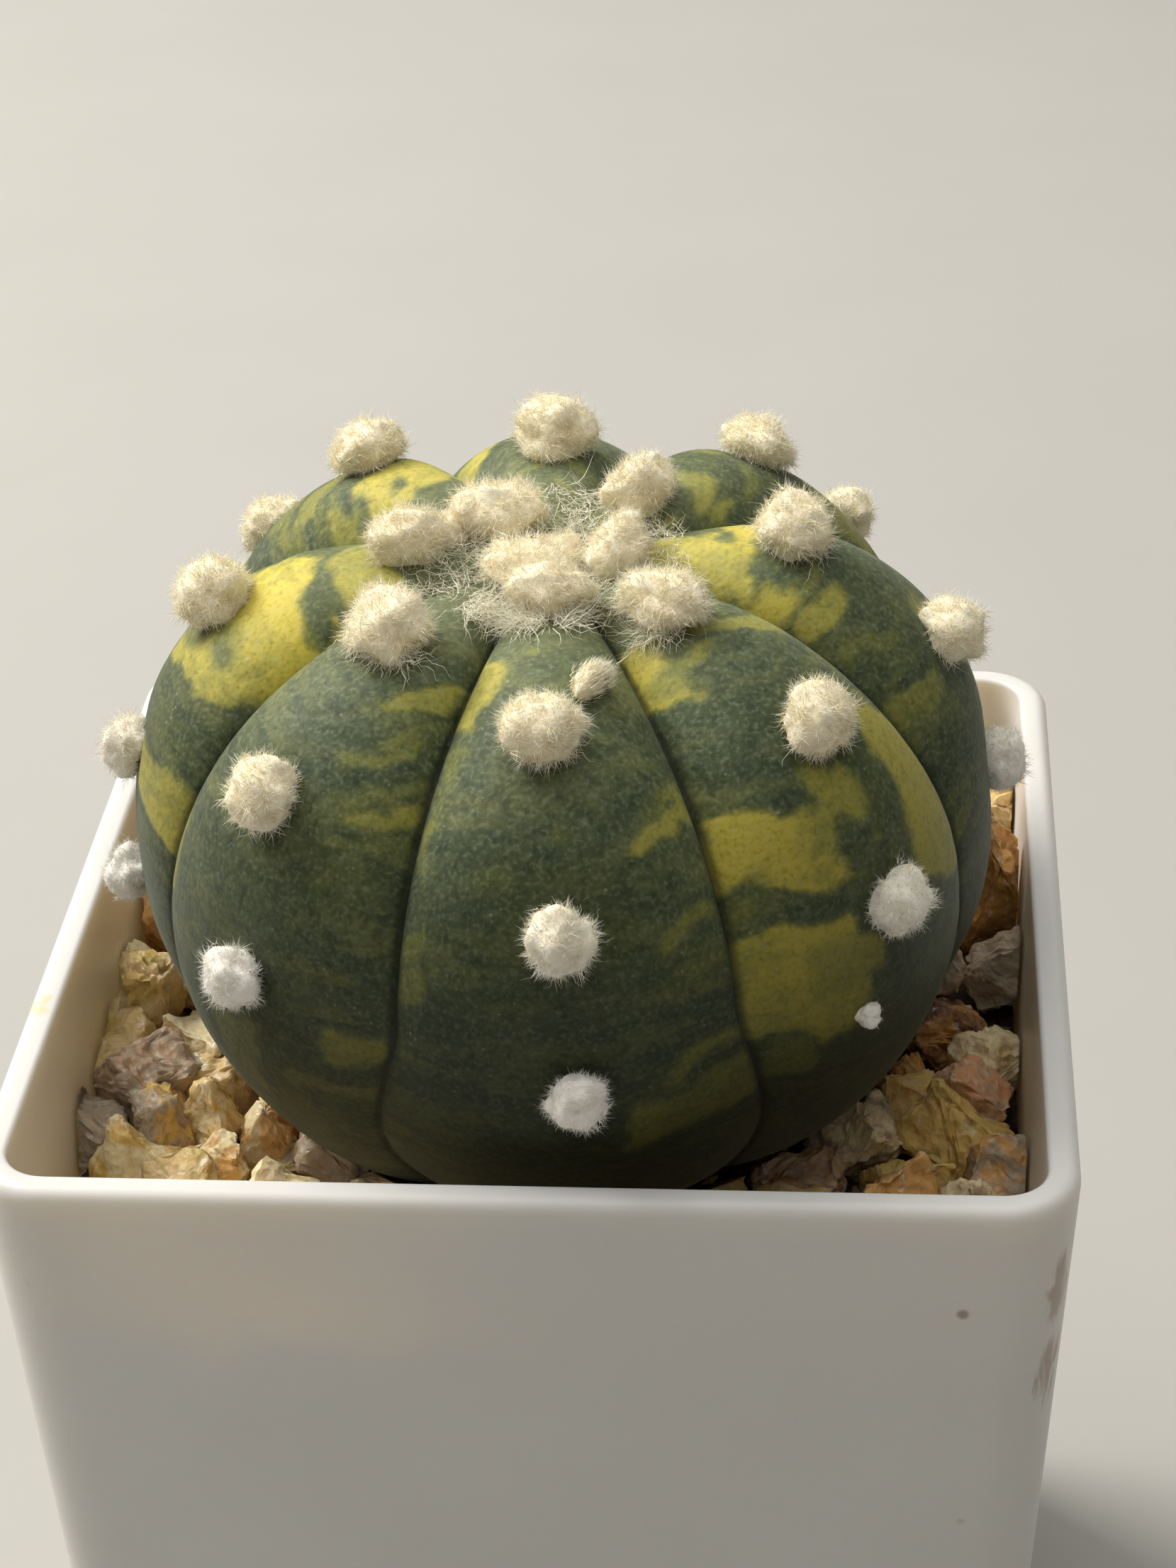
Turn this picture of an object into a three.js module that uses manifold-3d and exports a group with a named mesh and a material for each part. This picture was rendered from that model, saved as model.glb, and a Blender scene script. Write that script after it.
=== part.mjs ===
// Potted variegated star cactus: an eight-ribbed ball with woolly tufts, set in gravel in a square pot.
// Millimetres, +Z up. The origin is the middle of the pot's base, and the front of the pot faces -Y.

import * as THREE from 'three';
import * as BufferGeometryUtils from 'three/addons/utils/BufferGeometryUtils.js';
import { ConvexGeometry } from 'three/addons/geometries/ConvexGeometry.js';
import Module from 'manifold-3d';

// Pot
const RIM_WIDTH = 70;
const POT_HEIGHT = 75;
const BASE_WIDTH = 61;
const CORNER_RADIUS = 5;
const CORNER_STEPS = 5;
const RIM_WALL = 2.1;
const BASE_WALL = 1.4;
const EDGE_ROUNDING = 0.6;
const FLOOR_THICKNESS = 1.6;
const FOOT_HEIGHT = 1.2;
const FOOT_WIDTH = 3.4;
const FOOT_CHANNEL = 24;
const DRAIN_RADIUS = 3;
const DRAIN_STEPS = 16;
const DRAIN_OFFSET = 15;

// Potting mix and gravel. Heights that lie under the rim are drops from it.
const GAP = 0.3;
const CUT_MARGIN = 1;
const SOIL_DROP = 16;
const BED_DROP = 11.2;
const BED_SLOPE = 0.1;
const STONE_PITCH = 5.8;
const STONE_SIZE = 5.6;
const STONE_SPREAD = 1.6;
const STONE_BLOCKINESS = 0.8;
const STONE_ROUGHNESS = 0.34;
const STONE_LIFT = 1.5;
const STONE_SINK = 1.6;
const STONE_CLEARANCE = 3;
const BLOCK_CORNERS = 8;
const GRAVEL_SEED = 2026;

// Plant body: two superellipses of revolution, one through the ridges and one through the grooves
const RIB_COUNT = 8;
const FRONT_RIB_TURN = 0.089;
const BODY_CENTRE = new THREE.Vector3(0.8, -2.5, POT_HEIGHT + 8.2);
const BODY_RADIUS = 29;
const CROWN_HEIGHT = 23;
const FOOT_DEPTH = 25.2;
const CROWN_POWER = 2.6;
const FOOT_POWER = 1.95;
const GROOVE_POWER = 2.1;
const WAIST_GROOVE = 1.2;
const CROWN_GROOVE = 2.9;
const FOOT_GROOVE = 1.6;
const RIB_ROUNDNESS = 0.62;
const DIMPLE_RADIUS = 18;
const ROOT_FADE_RADIUS = 10;
const LEAN = new THREE.Vector2(-0.013, -0.067);
const STEPS_PER_RIB = 8;
const BODY_RINGS = 22;
const HOLLOW_SWELL = 0.8;
const HOLLOW_STEPS_PER_RIB = 3;
const HOLLOW_RINGS = 12;

// Taproot, drawn as a turned outline from its tip to the middle of the body
const ROOT_TIP_HEIGHT = 30;
const ROOT_TIP_RADIUS = 1.2;
const ROOT_MIDDLE_HEIGHT = 46;
const ROOT_MIDDLE_RADIUS = 4;
const ROOT_NECK_HEIGHT = 60;
const ROOT_NECK_RADIUS = 7.5;
const ROOT_TOP_HEIGHT = 64;
const ROOT_STEPS = 20;

// Wool tufts: distance along the ridge from the growing point, and distance aside from it, rib by rib,
// front rib first and then round to the right. The two that stand well aside have a size of their own.
const RIB_TUFTS = [
  [[19.5, -0.5], [31.7, 0], [42.3, 0.5]],
  [[11.3, -1], [23.5, 0], [35.6, 0.5]],
  [[15.7, 0], [27.8, -1.1], [38.8, 0]],
  [[19.8, 0], [30, -1.6]],
  [[14.2, -0.5], [27, 0], [39, 0]],
  [[17.5, -0.7], [28.5, 1]],
  [[9.1, -0.5], [21.9, -0.7], [34.4, 0], [43.9, 0.8]],
  [[13.9, 0], [26.6, 0], [38.2, 0]],
];
const SIDE_TUFTS = [
  { rib: 0, along: 16.2, aside: 2.5, width: 3.3 },
  { rib: 1, along: 43, aside: -2.4, width: 1.8 },
];
const YOUNG_TUFT_WIDTH = 6.1;
const TUFT_SHRINK = 0.05;
const TUFT_FLATNESS = 0.9;
const TUFT_LIFT = 0.2;
const TUFT_RAGGEDNESS = 0.3;
const TUFT_SEED = 1;
const WALK_STEP = 0.004;

// Crown wool: the youngest tufts, and the felt that joins them over the growing point
const CROWN_TUFTS = [
  { rib: 0, along: 6.4, aside: 0.2, width: 6.2 },
  { rib: 7, along: 2.6, aside: 0.9, width: 5.4 },
  { rib: 2, along: 4.6, aside: -0.7, width: 5.6 },
  { rib: 3, along: 8.2, aside: -0.4, width: 5.4 },
  { rib: 5, along: 4.7, aside: -0.2, width: 6.2 },
];
const FELT_RADIUS = 6.5;
const FELT_THICKNESS = 1.5;
const FELT_STEPS = 14;
const CROWN_SEED = 71;

const FINISHES = {
  pot: { color: 0xe9e7e2, roughness: 0.4 },
  soil: { color: 0x2c231c, roughness: 0.95 },
  gravel: { color: 0xc09a62, roughness: 0.7 },
  cactus_body: { color: 0x56683c, roughness: 0.6 },
  crown_wool: { color: 0xe6dac0, roughness: 1 },
};

// Stones that show at the pot's two front corners: middle across, middle back, drop of the top under
// the rim, then width and depth. Each reaches down into the bed.
const PLACED_STONES = [
  [-30.2, -1.5, 3.7, 5, 5.4],
  [-28.8, -8.6, 5.6, 7.2, 6.4],
  [-26, -2.5, 8.2, 3.8, 4.4],
  [-23.4, -8.5, 7.8, 5, 4.8],
  [-27.2, -13.2, 7.6, 5.8, 5.2],
  [-23.4, -12.2, 8, 3.8, 4.2],
  [-19.4, -13.2, 8.4, 4.8, 4.8],
  [-27.8, -17.2, 8.5, 5.8, 5.2],
  [-22.4, -17.2, 9.4, 4.4, 4.4],
  [-17, -14.2, 10.1, 4.8, 4.2],
  [30.4, 11.5, 2, 4.4, 5.4],
  [29.6, -3.2, 8, 4.8, 4.8],
  [26.6, 0.4, 8.6, 4.4, 4.6],
  [28.8, -7.4, 8, 5.6, 4.4],
  [24.6, -6.6, 8.6, 4.6, 4.6],
  [27.8, -11.6, 8.1, 5.8, 5.4],
  [21.6, -12.2, 8.2, 5.6, 5.2],
  [30.2, -16.6, 8, 4.2, 4.6],
  [24.4, -16.8, 9.8, 5.8, 4.6],
  [28.6, -21, 9, 6, 4.8],
  [16.8, -15.6, 9.9, 6.2, 5],
];

const wasm = await Module();
wasm.setup();

// Random draws come from a generator of whole numbers with a fixed start, so every build is alike.
function seededRandom(seed) {
  const factor = 1664525;
  const increment = 1013904223;
  let state = seed;
  return () => {
    state = (Math.imul(state, factor) + increment) >>> 0;
    return state / 2 ** 32;
  };
}

function toSolid(geometry) {
  geometry.deleteAttribute('normal');
  geometry.deleteAttribute('uv');
  const merged = BufferGeometryUtils.mergeVertices(geometry);
  const corners = merged.index.array;
  const triangles = [];
  for (let i = 0; i < corners.length; i += 3) {
    const [a, b, c] = corners.slice(i, i + 3);
    if (a !== b && b !== c && c !== a) triangles.push(a, b, c);
  }
  return new wasm.Manifold(new wasm.Mesh({
    numProp: 3,
    vertProperties: new Float32Array(merged.attributes.position.array),
    triVerts: new Uint32Array(triangles),
  }));
}

function toMesh(name, solid) {
  const { vertProperties, triVerts } = solid.getMesh();
  const geometry = new THREE.BufferGeometry();
  geometry.setAttribute('position', new THREE.BufferAttribute(vertProperties, 3));
  geometry.setIndex(new THREE.BufferAttribute(triVerts, 1));
  geometry.computeVertexNormals();
  const material = new THREE.MeshStandardMaterial({ ...FINISHES[name], metalness: 0 });
  const mesh = new THREE.Mesh(geometry, material);
  mesh.name = name;
  return mesh;
}

// Cutting can leave crumbs that touch nothing, so only the largest body is kept.
function largestBody(solid) {
  return solid.decompose().sort((a, b) => b.volume() - a.volume())[0];
}

function unite(solids) {
  return solids.reduce((whole, piece) => whole.add(piece));
}

// Pot

function halfWidthAt(z, wall) {
  const outside = THREE.MathUtils.mapLinear(z, 0, POT_HEIGHT, BASE_WIDTH, RIM_WIDTH) / 2;
  const wallHere = THREE.MathUtils.mapLinear(z, 0, POT_HEIGHT, BASE_WALL, RIM_WALL);
  return outside - wall * wallHere;
}

function roundedSquare(halfWidth, radius) {
  const middle = halfWidth - radius;
  const shape = new THREE.Shape();
  shape.moveTo(halfWidth, -middle);
  shape.lineTo(halfWidth, middle);
  shape.absarc(middle, middle, radius, 0, Math.PI / 2);
  shape.lineTo(-middle, halfWidth);
  shape.absarc(-middle, middle, radius, Math.PI / 2, Math.PI);
  shape.lineTo(-halfWidth, -middle);
  shape.absarc(-middle, -middle, radius, Math.PI, 1.5 * Math.PI);
  shape.lineTo(middle, -halfWidth);
  shape.absarc(middle, -middle, radius, 1.5 * Math.PI, 2 * Math.PI);
  return shape;
}

// A block that follows the pot's taper: its outside with wall 0, its inside with wall 1. The inset
// moves it further in, and the rounding softens its upper and lower edges.
function taperedBlock({ low, high, wall = 0, inset = 0, rounding = 0 }) {
  const halfTop = halfWidthAt(POT_HEIGHT, wall) - inset;
  const radius = CORNER_RADIUS - wall * RIM_WALL - inset;
  const geometry = new THREE.ExtrudeGeometry(roundedSquare(halfTop, radius), {
    depth: high - low - 2 * rounding,
    curveSegments: CORNER_STEPS,
    bevelEnabled: rounding > 0,
    bevelThickness: rounding,
    bevelSize: rounding,
    bevelOffset: -rounding,
    bevelSegments: 2,
  });
  geometry.translate(0, 0, low + rounding);
  const place = geometry.attributes.position;
  for (let i = 0; i < place.count; i += 1) {
    const scale = (halfWidthAt(place.getZ(i), wall) - inset) / halfTop;
    place.setXY(i, place.getX(i) * scale, place.getY(i) * scale);
  }
  return geometry;
}

function drainHole(x, y) {
  const hole = new THREE.CylinderGeometry(DRAIN_RADIUS, DRAIN_RADIUS, RIM_WIDTH, DRAIN_STEPS);
  hole.rotateX(Math.PI / 2);
  hole.translate(x, y, 0);
  return toSolid(hole);
}

function footChannel(alongX, alongY) {
  const channel = new THREE.BoxGeometry(alongX, alongY, 2 * FOOT_HEIGHT);
  return toSolid(channel);
}

const floorTop = FOOT_HEIGHT + FLOOR_THICKNESS;

function makePot() {
  const shell = toSolid(taperedBlock({ low: 0, high: POT_HEIGHT, rounding: EDGE_ROUNDING }));
  const inside = toSolid(taperedBlock({ low: floorTop, high: POT_HEIGHT + CUT_MARGIN, wall: 1 }));
  const underside = toSolid(taperedBlock({ low: -CUT_MARGIN, high: FOOT_HEIGHT, inset: FOOT_WIDTH }));
  const drains = [drainHole(0, 0)];
  for (const x of [-DRAIN_OFFSET, DRAIN_OFFSET]) {
    for (const y of [-DRAIN_OFFSET, DRAIN_OFFSET]) drains.push(drainHole(x, y));
  }
  const pot = shell.subtract(inside).subtract(underside)
    .subtract(footChannel(RIM_WIDTH, FOOT_CHANNEL))
    .subtract(footChannel(FOOT_CHANNEL, RIM_WIDTH));
  return drains.reduce((cut, drain) => cut.subtract(drain), pot);
}

// Plant body

function superellipse(psi, radius, up, down, upPower) {
  const above = Math.cos(psi) >= 0;
  const power = 2 / (above ? upPower : FOOT_POWER);
  return {
    r: radius * Math.abs(Math.sin(psi)) ** power,
    z: (above ? up : -down) * Math.abs(Math.cos(psi)) ** power,
  };
}

function smooth(t) {
  const held = THREE.MathUtils.clamp(t, 0, 1);
  return held * held * (3 - 2 * held);
}

// A point of the skin. psi runs from the growing point, 0, to the root, PI. across runs over a rib,
// from one groove, -1, over the ridge, 0, to the next groove, 1.
function skinPoint(psi, rib, across, swell = 0) {
  const ridge = superellipse(
    psi, BODY_RADIUS + swell, CROWN_HEIGHT + swell, FOOT_DEPTH + swell, CROWN_POWER);
  const groove = superellipse(
    psi, BODY_RADIUS - WAIST_GROOVE + swell, CROWN_HEIGHT - CROWN_GROOVE + swell,
    FOOT_DEPTH - FOOT_GROOVE + swell, GROOVE_POWER);
  const fadeRadius = Math.cos(psi) > 0 ? DIMPLE_RADIUS : ROOT_FADE_RADIUS;
  const rise = (1 - across * across) ** RIB_ROUNDNESS * smooth(ridge.r / fadeRadius);
  const r = THREE.MathUtils.lerp(groove.r, ridge.r, rise);
  const z = THREE.MathUtils.lerp(groove.z, ridge.z, rise);
  const turn = FRONT_RIB_TURN + (2 * rib + across) * Math.PI / RIB_COUNT - Math.PI / 2;
  const x = r * Math.cos(turn);
  const y = r * Math.sin(turn);
  const leaning = new THREE.Vector3(x + z * LEAN.x, y + z * LEAN.y, z - x * LEAN.x - y * LEAN.y);
  return leaning.add(BODY_CENTRE);
}

// The whole skin, or without its grooves the plain round hollow that it leaves in the gravel.
function makeBody({ swell = 0, grooved = true }) {
  const stepsPerRib = grooved ? STEPS_PER_RIB : HOLLOW_STEPS_PER_RIB;
  const rings = grooved ? BODY_RINGS : HOLLOW_RINGS;
  const geometry = new THREE.SphereGeometry(1, RIB_COUNT * stepsPerRib, rings);
  const { position, uv } = geometry.attributes;
  for (let i = 0; i < position.count; i += 1) {
    const halfSteps = Math.round(uv.getX(i) * RIB_COUNT * stepsPerRib * 2);
    const turns = (halfSteps / (stepsPerRib * 2)) % RIB_COUNT;
    const rib = grooved ? Math.floor(turns) : turns - 0.5;
    const across = grooved ? 2 * (turns % 1) - 1 : 0;
    const psi = Math.PI * (1 - uv.getY(i));
    position.setXYZ(i, ...skinPoint(psi, rib, across, swell));
  }
  return toSolid(geometry);
}

function makeTaproot(swell) {
  const outline = [
    new THREE.Vector2(0, ROOT_TIP_HEIGHT - swell),
    new THREE.Vector2(ROOT_TIP_RADIUS + swell, ROOT_TIP_HEIGHT - swell),
    new THREE.Vector2(ROOT_MIDDLE_RADIUS + swell, ROOT_MIDDLE_HEIGHT),
    new THREE.Vector2(ROOT_NECK_RADIUS + swell, ROOT_NECK_HEIGHT),
    new THREE.Vector2(ROOT_NECK_RADIUS + swell, ROOT_TOP_HEIGHT),
    new THREE.Vector2(0, ROOT_TOP_HEIGHT),
  ];
  const root = new THREE.LatheGeometry(outline, ROOT_STEPS);
  root.rotateX(Math.PI / 2);
  root.translate(BODY_CENTRE.x, BODY_CENTRE.y, 0);
  return toSolid(root);
}

// Wool tufts

function tuftWidthAt(along) {
  return YOUNG_TUFT_WIDTH - TUFT_SHRINK * along;
}

// The place on the skin at a distance along a ridge, with the direction that points straight out.
function ridgeSite({ rib, along, aside }) {
  let psi = WALK_STEP;
  let here = skinPoint(psi, rib, 0);
  for (let walked = 0; walked < along;) {
    psi += WALK_STEP;
    const next = skinPoint(psi, rib, 0);
    walked += next.distanceTo(here);
    here = next;
  }
  const axisDistance = Math.hypot(here.x - BODY_CENTRE.x, here.y - BODY_CENTRE.y);
  const across = aside / (axisDistance * Math.PI / RIB_COUNT);
  const point = skinPoint(psi, rib, across);
  const downhill = skinPoint(psi + WALK_STEP, rib, across).sub(point);
  const sideways = skinPoint(psi, rib, across + WALK_STEP).sub(point);
  const out = downhill.cross(sideways).normalize();
  return { point, out };
}

// A tuft is a ragged ball, flattened along its axis, whose lower third is sunk into the ridge.
function makeTuft(site, width, seed, swell) {
  const random = seededRandom(seed);
  const ball = new THREE.IcosahedronGeometry(1, 1);
  ball.deleteAttribute('normal');
  ball.deleteAttribute('uv');
  const ragged = BufferGeometryUtils.mergeVertices(ball);
  const place = ragged.attributes.position;
  for (let i = 0; i < place.count; i += 1) {
    const reach = width / 2 * (1 + TUFT_RAGGEDNESS * (random() - 0.5)) + swell;
    const lock = new THREE.Vector3().fromBufferAttribute(place, i).multiplyScalar(reach);
    place.setXYZ(i, lock.x, lock.y, lock.z * TUFT_FLATNESS);
  }
  const upright = new THREE.Vector3(0, 0, 1);
  ragged.applyQuaternion(new THREE.Quaternion().setFromUnitVectors(upright, site.out));
  const middle = site.point.clone().addScaledVector(site.out, width * TUFT_LIFT);
  ragged.translate(...middle);
  return toSolid(ragged);
}

function ridgeTufts(swell) {
  const tufts = RIB_TUFTS.flatMap((places, rib) => places.map(
    ([along, aside]) => ({ rib, along, aside, width: tuftWidthAt(along) })));
  return [...tufts, ...SIDE_TUFTS].map(
    (tuft, index) => makeTuft(ridgeSite(tuft), tuft.width, TUFT_SEED + index, swell));
}

function makePlant(swell = 0) {
  return unite([makeBody({ swell }), makeTaproot(swell), ...ridgeTufts(swell)]);
}

// The space that the gravel and the potting mix leave for the plant
function makePlantHollow() {
  const round = makeBody({ swell: HOLLOW_SWELL, grooved: false });
  return unite([round, makeTaproot(GAP), ...ridgeTufts(GAP)]);
}

function makeCrownWool() {
  const disc = new THREE.CylinderGeometry(FELT_RADIUS, FELT_RADIUS, 2 * CROWN_HEIGHT, FELT_STEPS);
  disc.rotateX(Math.PI / 2);
  disc.translate(...skinPoint(0, 0, 0));
  const felt = makeBody({ swell: FELT_THICKNESS }).intersect(toSolid(disc));
  const tufts = CROWN_TUFTS.map(
    (tuft, index) => makeTuft(ridgeSite(tuft), tuft.width, CROWN_SEED + index, 0));
  return largestBody(unite([felt, ...tufts]).subtract(makePlant(GAP)));
}

// Potting mix and gravel

function makeSoil(hollow) {
  const high = POT_HEIGHT - SOIL_DROP;
  const mix = toSolid(taperedBlock({ low: floorTop + GAP, high, wall: 1, inset: GAP }));
  return mix.subtract(hollow);
}

function bedTopAt(y) {
  return POT_HEIGHT - BED_DROP + BED_SLOPE * y;
}

// A stone is the hull of a block's corners, each knocked a little out of place.
function makeStone(centre, size, random) {
  const draw = () => STONE_ROUGHNESS * (random() - 0.5);
  const turn = new THREE.Euler(Math.PI * random(), Math.PI * random(), Math.PI * random());
  const corners = [];
  for (let i = 0; i < BLOCK_CORNERS; i += 1) {
    const side = (bit) => STONE_BLOCKINESS * (i & bit ? 0.5 : -0.5);
    const corner = new THREE.Vector3(side(1), side(2), side(4)).applyEuler(turn);
    corner.add(new THREE.Vector3(draw(), draw(), draw()));
    corners.push(corner.multiply(size).add(centre));
  }
  return toSolid(new ConvexGeometry(corners));
}

function placedStones(random) {
  return PLACED_STONES.map(([x, y, drop, width, depth]) => {
    const top = POT_HEIGHT - drop;
    const bottom = bedTopAt(y) - STONE_SINK;
    const centre = new THREE.Vector3(x, y, (top + bottom) / 2);
    return makeStone(centre, new THREE.Vector3(width, depth, top - bottom), random);
  });
}

// The body's half width at a height below its middle
function bodyRadiusAt(z) {
  const depth = (BODY_CENTRE.z - z) / FOOT_DEPTH;
  return BODY_RADIUS * Math.max(1 - depth ** FOOT_POWER, 0) ** (1 / FOOT_POWER);
}

// Stones lie in rows with jitter, wherever a placed stone or the plant leaves room.
function scatteredStones(random) {
  const stones = [];
  const reach = halfWidthAt(POT_HEIGHT - BED_DROP, 1);
  const rowGap = STONE_PITCH * Math.sin(Math.PI / 3);
  const rows = Math.floor(reach / rowGap);
  for (let row = -rows; row <= rows; row += 1) {
    for (let column = -rows; column <= rows; column += 1) {
      const jitter = () => STONE_SPREAD * (random() - 0.5);
      const x = (column + (row % 2) / 2) * STONE_PITCH + jitter();
      const y = row * rowGap + jitter();
      const width = STONE_SIZE + jitter();
      const size = new THREE.Vector3(width, STONE_SIZE + jitter(), STONE_SIZE + jitter());
      const centre = new THREE.Vector3(x, y, bedTopAt(y) + STONE_LIFT + jitter() / 2);
      const inPot = Math.max(Math.abs(x), Math.abs(y)) < reach;
      const taken = PLACED_STONES.some(
        ([px, py]) => Math.hypot(px - x, py - y) < STONE_CLEARANCE);
      const plantDistance = Math.hypot(x - BODY_CENTRE.x, y - BODY_CENTRE.y);
      const underPlant = plantDistance < bodyRadiusAt(centre.z);
      if (inPot && !taken && !underPlant) stones.push(makeStone(centre, size, random));
    }
  }
  return stones;
}

function makeGravel(hollow) {
  const low = POT_HEIGHT - SOIL_DROP + GAP;
  const space = toSolid(taperedBlock({ low, high: POT_HEIGHT + BED_DROP, wall: 1, inset: GAP }));
  const slab = taperedBlock({ low, high: POT_HEIGHT - BED_DROP, wall: 1, inset: GAP });
  const place = slab.attributes.position;
  for (let i = 0; i < place.count; i += 1) {
    if (place.getZ(i) > low + CUT_MARGIN) place.setZ(i, bedTopAt(place.getY(i)));
  }
  const random = seededRandom(GRAVEL_SEED);
  const heap = unite([toSolid(slab), ...placedStones(random), ...scatteredStones(random)]);
  return largestBody(heap.intersect(space).subtract(hollow));
}

const plantHollow = makePlantHollow();

const group = new THREE.Group();
group.add(
  toMesh('pot', makePot()),
  toMesh('soil', makeSoil(plantHollow)),
  toMesh('gravel', makeGravel(plantHollow)),
  toMesh('cactus_body', makePlant()),
  toMesh('crown_wool', makeCrownWool()),
);

export default group;
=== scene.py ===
# %% [markdown]
# # A potted variegated star cactus
# The object is a spineless star cactus: a ball of eight ribs, green with yellow patches, with a row of
# woolly tufts along every ridge. It stands in broken quartz gravel in a white square pot.
# The solids of the pot, potting mix, gravel, plant and crown wool are ready and fixed. This lesson
# dresses them: every piece but the potting mix is modelled again with finer faces in the same place, and
# every piece gets its finish.

# %% Load the fixed solids
import math

import bmesh
import bpy
from mathutils import Euler, Matrix, Vector, noise


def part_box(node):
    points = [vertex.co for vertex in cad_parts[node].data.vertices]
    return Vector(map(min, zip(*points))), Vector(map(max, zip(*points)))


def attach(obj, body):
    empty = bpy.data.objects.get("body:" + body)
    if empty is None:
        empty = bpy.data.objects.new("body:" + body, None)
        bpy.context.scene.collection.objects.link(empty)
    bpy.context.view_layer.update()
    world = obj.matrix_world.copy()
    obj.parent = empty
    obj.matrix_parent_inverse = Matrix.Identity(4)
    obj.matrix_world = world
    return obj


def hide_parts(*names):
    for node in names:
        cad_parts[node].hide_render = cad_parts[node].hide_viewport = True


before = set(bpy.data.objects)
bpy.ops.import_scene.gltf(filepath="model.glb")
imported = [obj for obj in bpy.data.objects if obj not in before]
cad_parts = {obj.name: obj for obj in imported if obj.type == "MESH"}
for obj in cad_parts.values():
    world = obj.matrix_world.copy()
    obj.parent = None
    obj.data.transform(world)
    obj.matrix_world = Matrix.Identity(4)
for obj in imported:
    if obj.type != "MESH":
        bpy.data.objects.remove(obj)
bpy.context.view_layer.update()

MM = 0.001
print("solids:", ", ".join(sorted(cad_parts)))

# %% [markdown]
# ## The camera
# The photo looks down on the plant from a little to its right. The pot's square rim is the ruler: its
# four corners fix the place, the turn and the focal length together. The camera is turned first about
# the upright axis, then tipped down, then rolled about its own line of sight.

# %% Camera
CAMERA_PLACE = Vector((21.6, -210.4, 208.1)) * MM
CAMERA_TURN = 0.0917
CAMERA_DIP = 0.5291
CAMERA_ROLL = -0.0352
FOCAL_LENGTH = 81.8
SENSOR = 36

camera_data = bpy.data.cameras.new("camera")
camera_data.lens = FOCAL_LENGTH
camera_data.sensor_width = SENSOR
camera_data.clip_start = MM
camera = bpy.data.objects.new("camera", camera_data)
bpy.context.scene.collection.objects.link(camera)
turn = Matrix.Rotation(CAMERA_TURN, 4, "Z")
tip_down = Matrix.Rotation(math.pi / 2 - CAMERA_DIP, 4, "X")
roll = Matrix.Rotation(CAMERA_ROLL, 4, "Z")
camera.matrix_world = Matrix.Translation(CAMERA_PLACE) @ turn @ tip_down @ roll
bpy.context.scene.camera = camera
print("camera stands", round(CAMERA_PLACE.length / MM), "mm from the pot's base")

# %% [markdown]
# ## Helpers
# Every piece ends the same way: its bmesh becomes a mesh, the mesh an object at the origin, and the
# object rides on the one body. A helper does that, and prints the triangles, so that a piece that grows
# too heavy is noticed. Small parts such as hairs and stones are poured into one bmesh first. Random
# numbers are drawn from a fixed start, and the noise gets one too, so every run is alike.

# %% Helpers for pieces
BODY = "root"
NOISE_SEED = 5
noise.seed_set(NOISE_SEED)


def lerp(a, b, share):
    return a + (b - a) * share


def between(limits, draw):
    """A random value between two limits."""
    return lerp(limits[0], limits[1], draw())


def smooth(value):
    held = min(max(value, 0), 1)
    return held * held * (3 - 2 * held)


def seeded_random(seed):
    """Whole numbers from a linear congruential generator, given back as shares from 0 to 1."""
    state = seed

    def draw():
        nonlocal state
        state = (state * 1664525 + 1013904223) % 2 ** 32
        return state / 2 ** 32

    return draw


def as_mesh(bm, name):
    """Keeps a bmesh as a mesh, and frees it."""
    mesh = bpy.data.meshes.new(name)
    bm.to_mesh(mesh)
    bm.free()
    return mesh


def pour(source, target):
    """Adds all of one bmesh to another, and frees the first."""
    mesh = as_mesh(source, "poured")
    target.from_mesh(mesh)
    bpy.data.meshes.remove(mesh)


def finish_piece(bm, name, material, sharp_angle=None, keep_shading=False):
    """Turns a bmesh into an object at the origin that rides on the body."""
    if not keep_shading:
        for face in bm.faces:
            face.smooth = True
    mesh = as_mesh(bm, name)
    mesh.materials.append(material)
    if sharp_angle:
        mesh.set_sharp_from_angle(angle=sharp_angle)
    piece = bpy.data.objects.new(name, mesh)
    bpy.context.scene.collection.objects.link(piece)
    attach(piece, BODY)
    mesh.calc_loop_triangles()
    print(name, "has", len(mesh.loop_triangles), "triangles")
    return piece


# %% [markdown]
# ## Helpers for materials
# A material is a small tree of nodes. These helpers add a node with its settings and links in one call,
# so that each finish below reads as a list of what it is made of.

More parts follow.
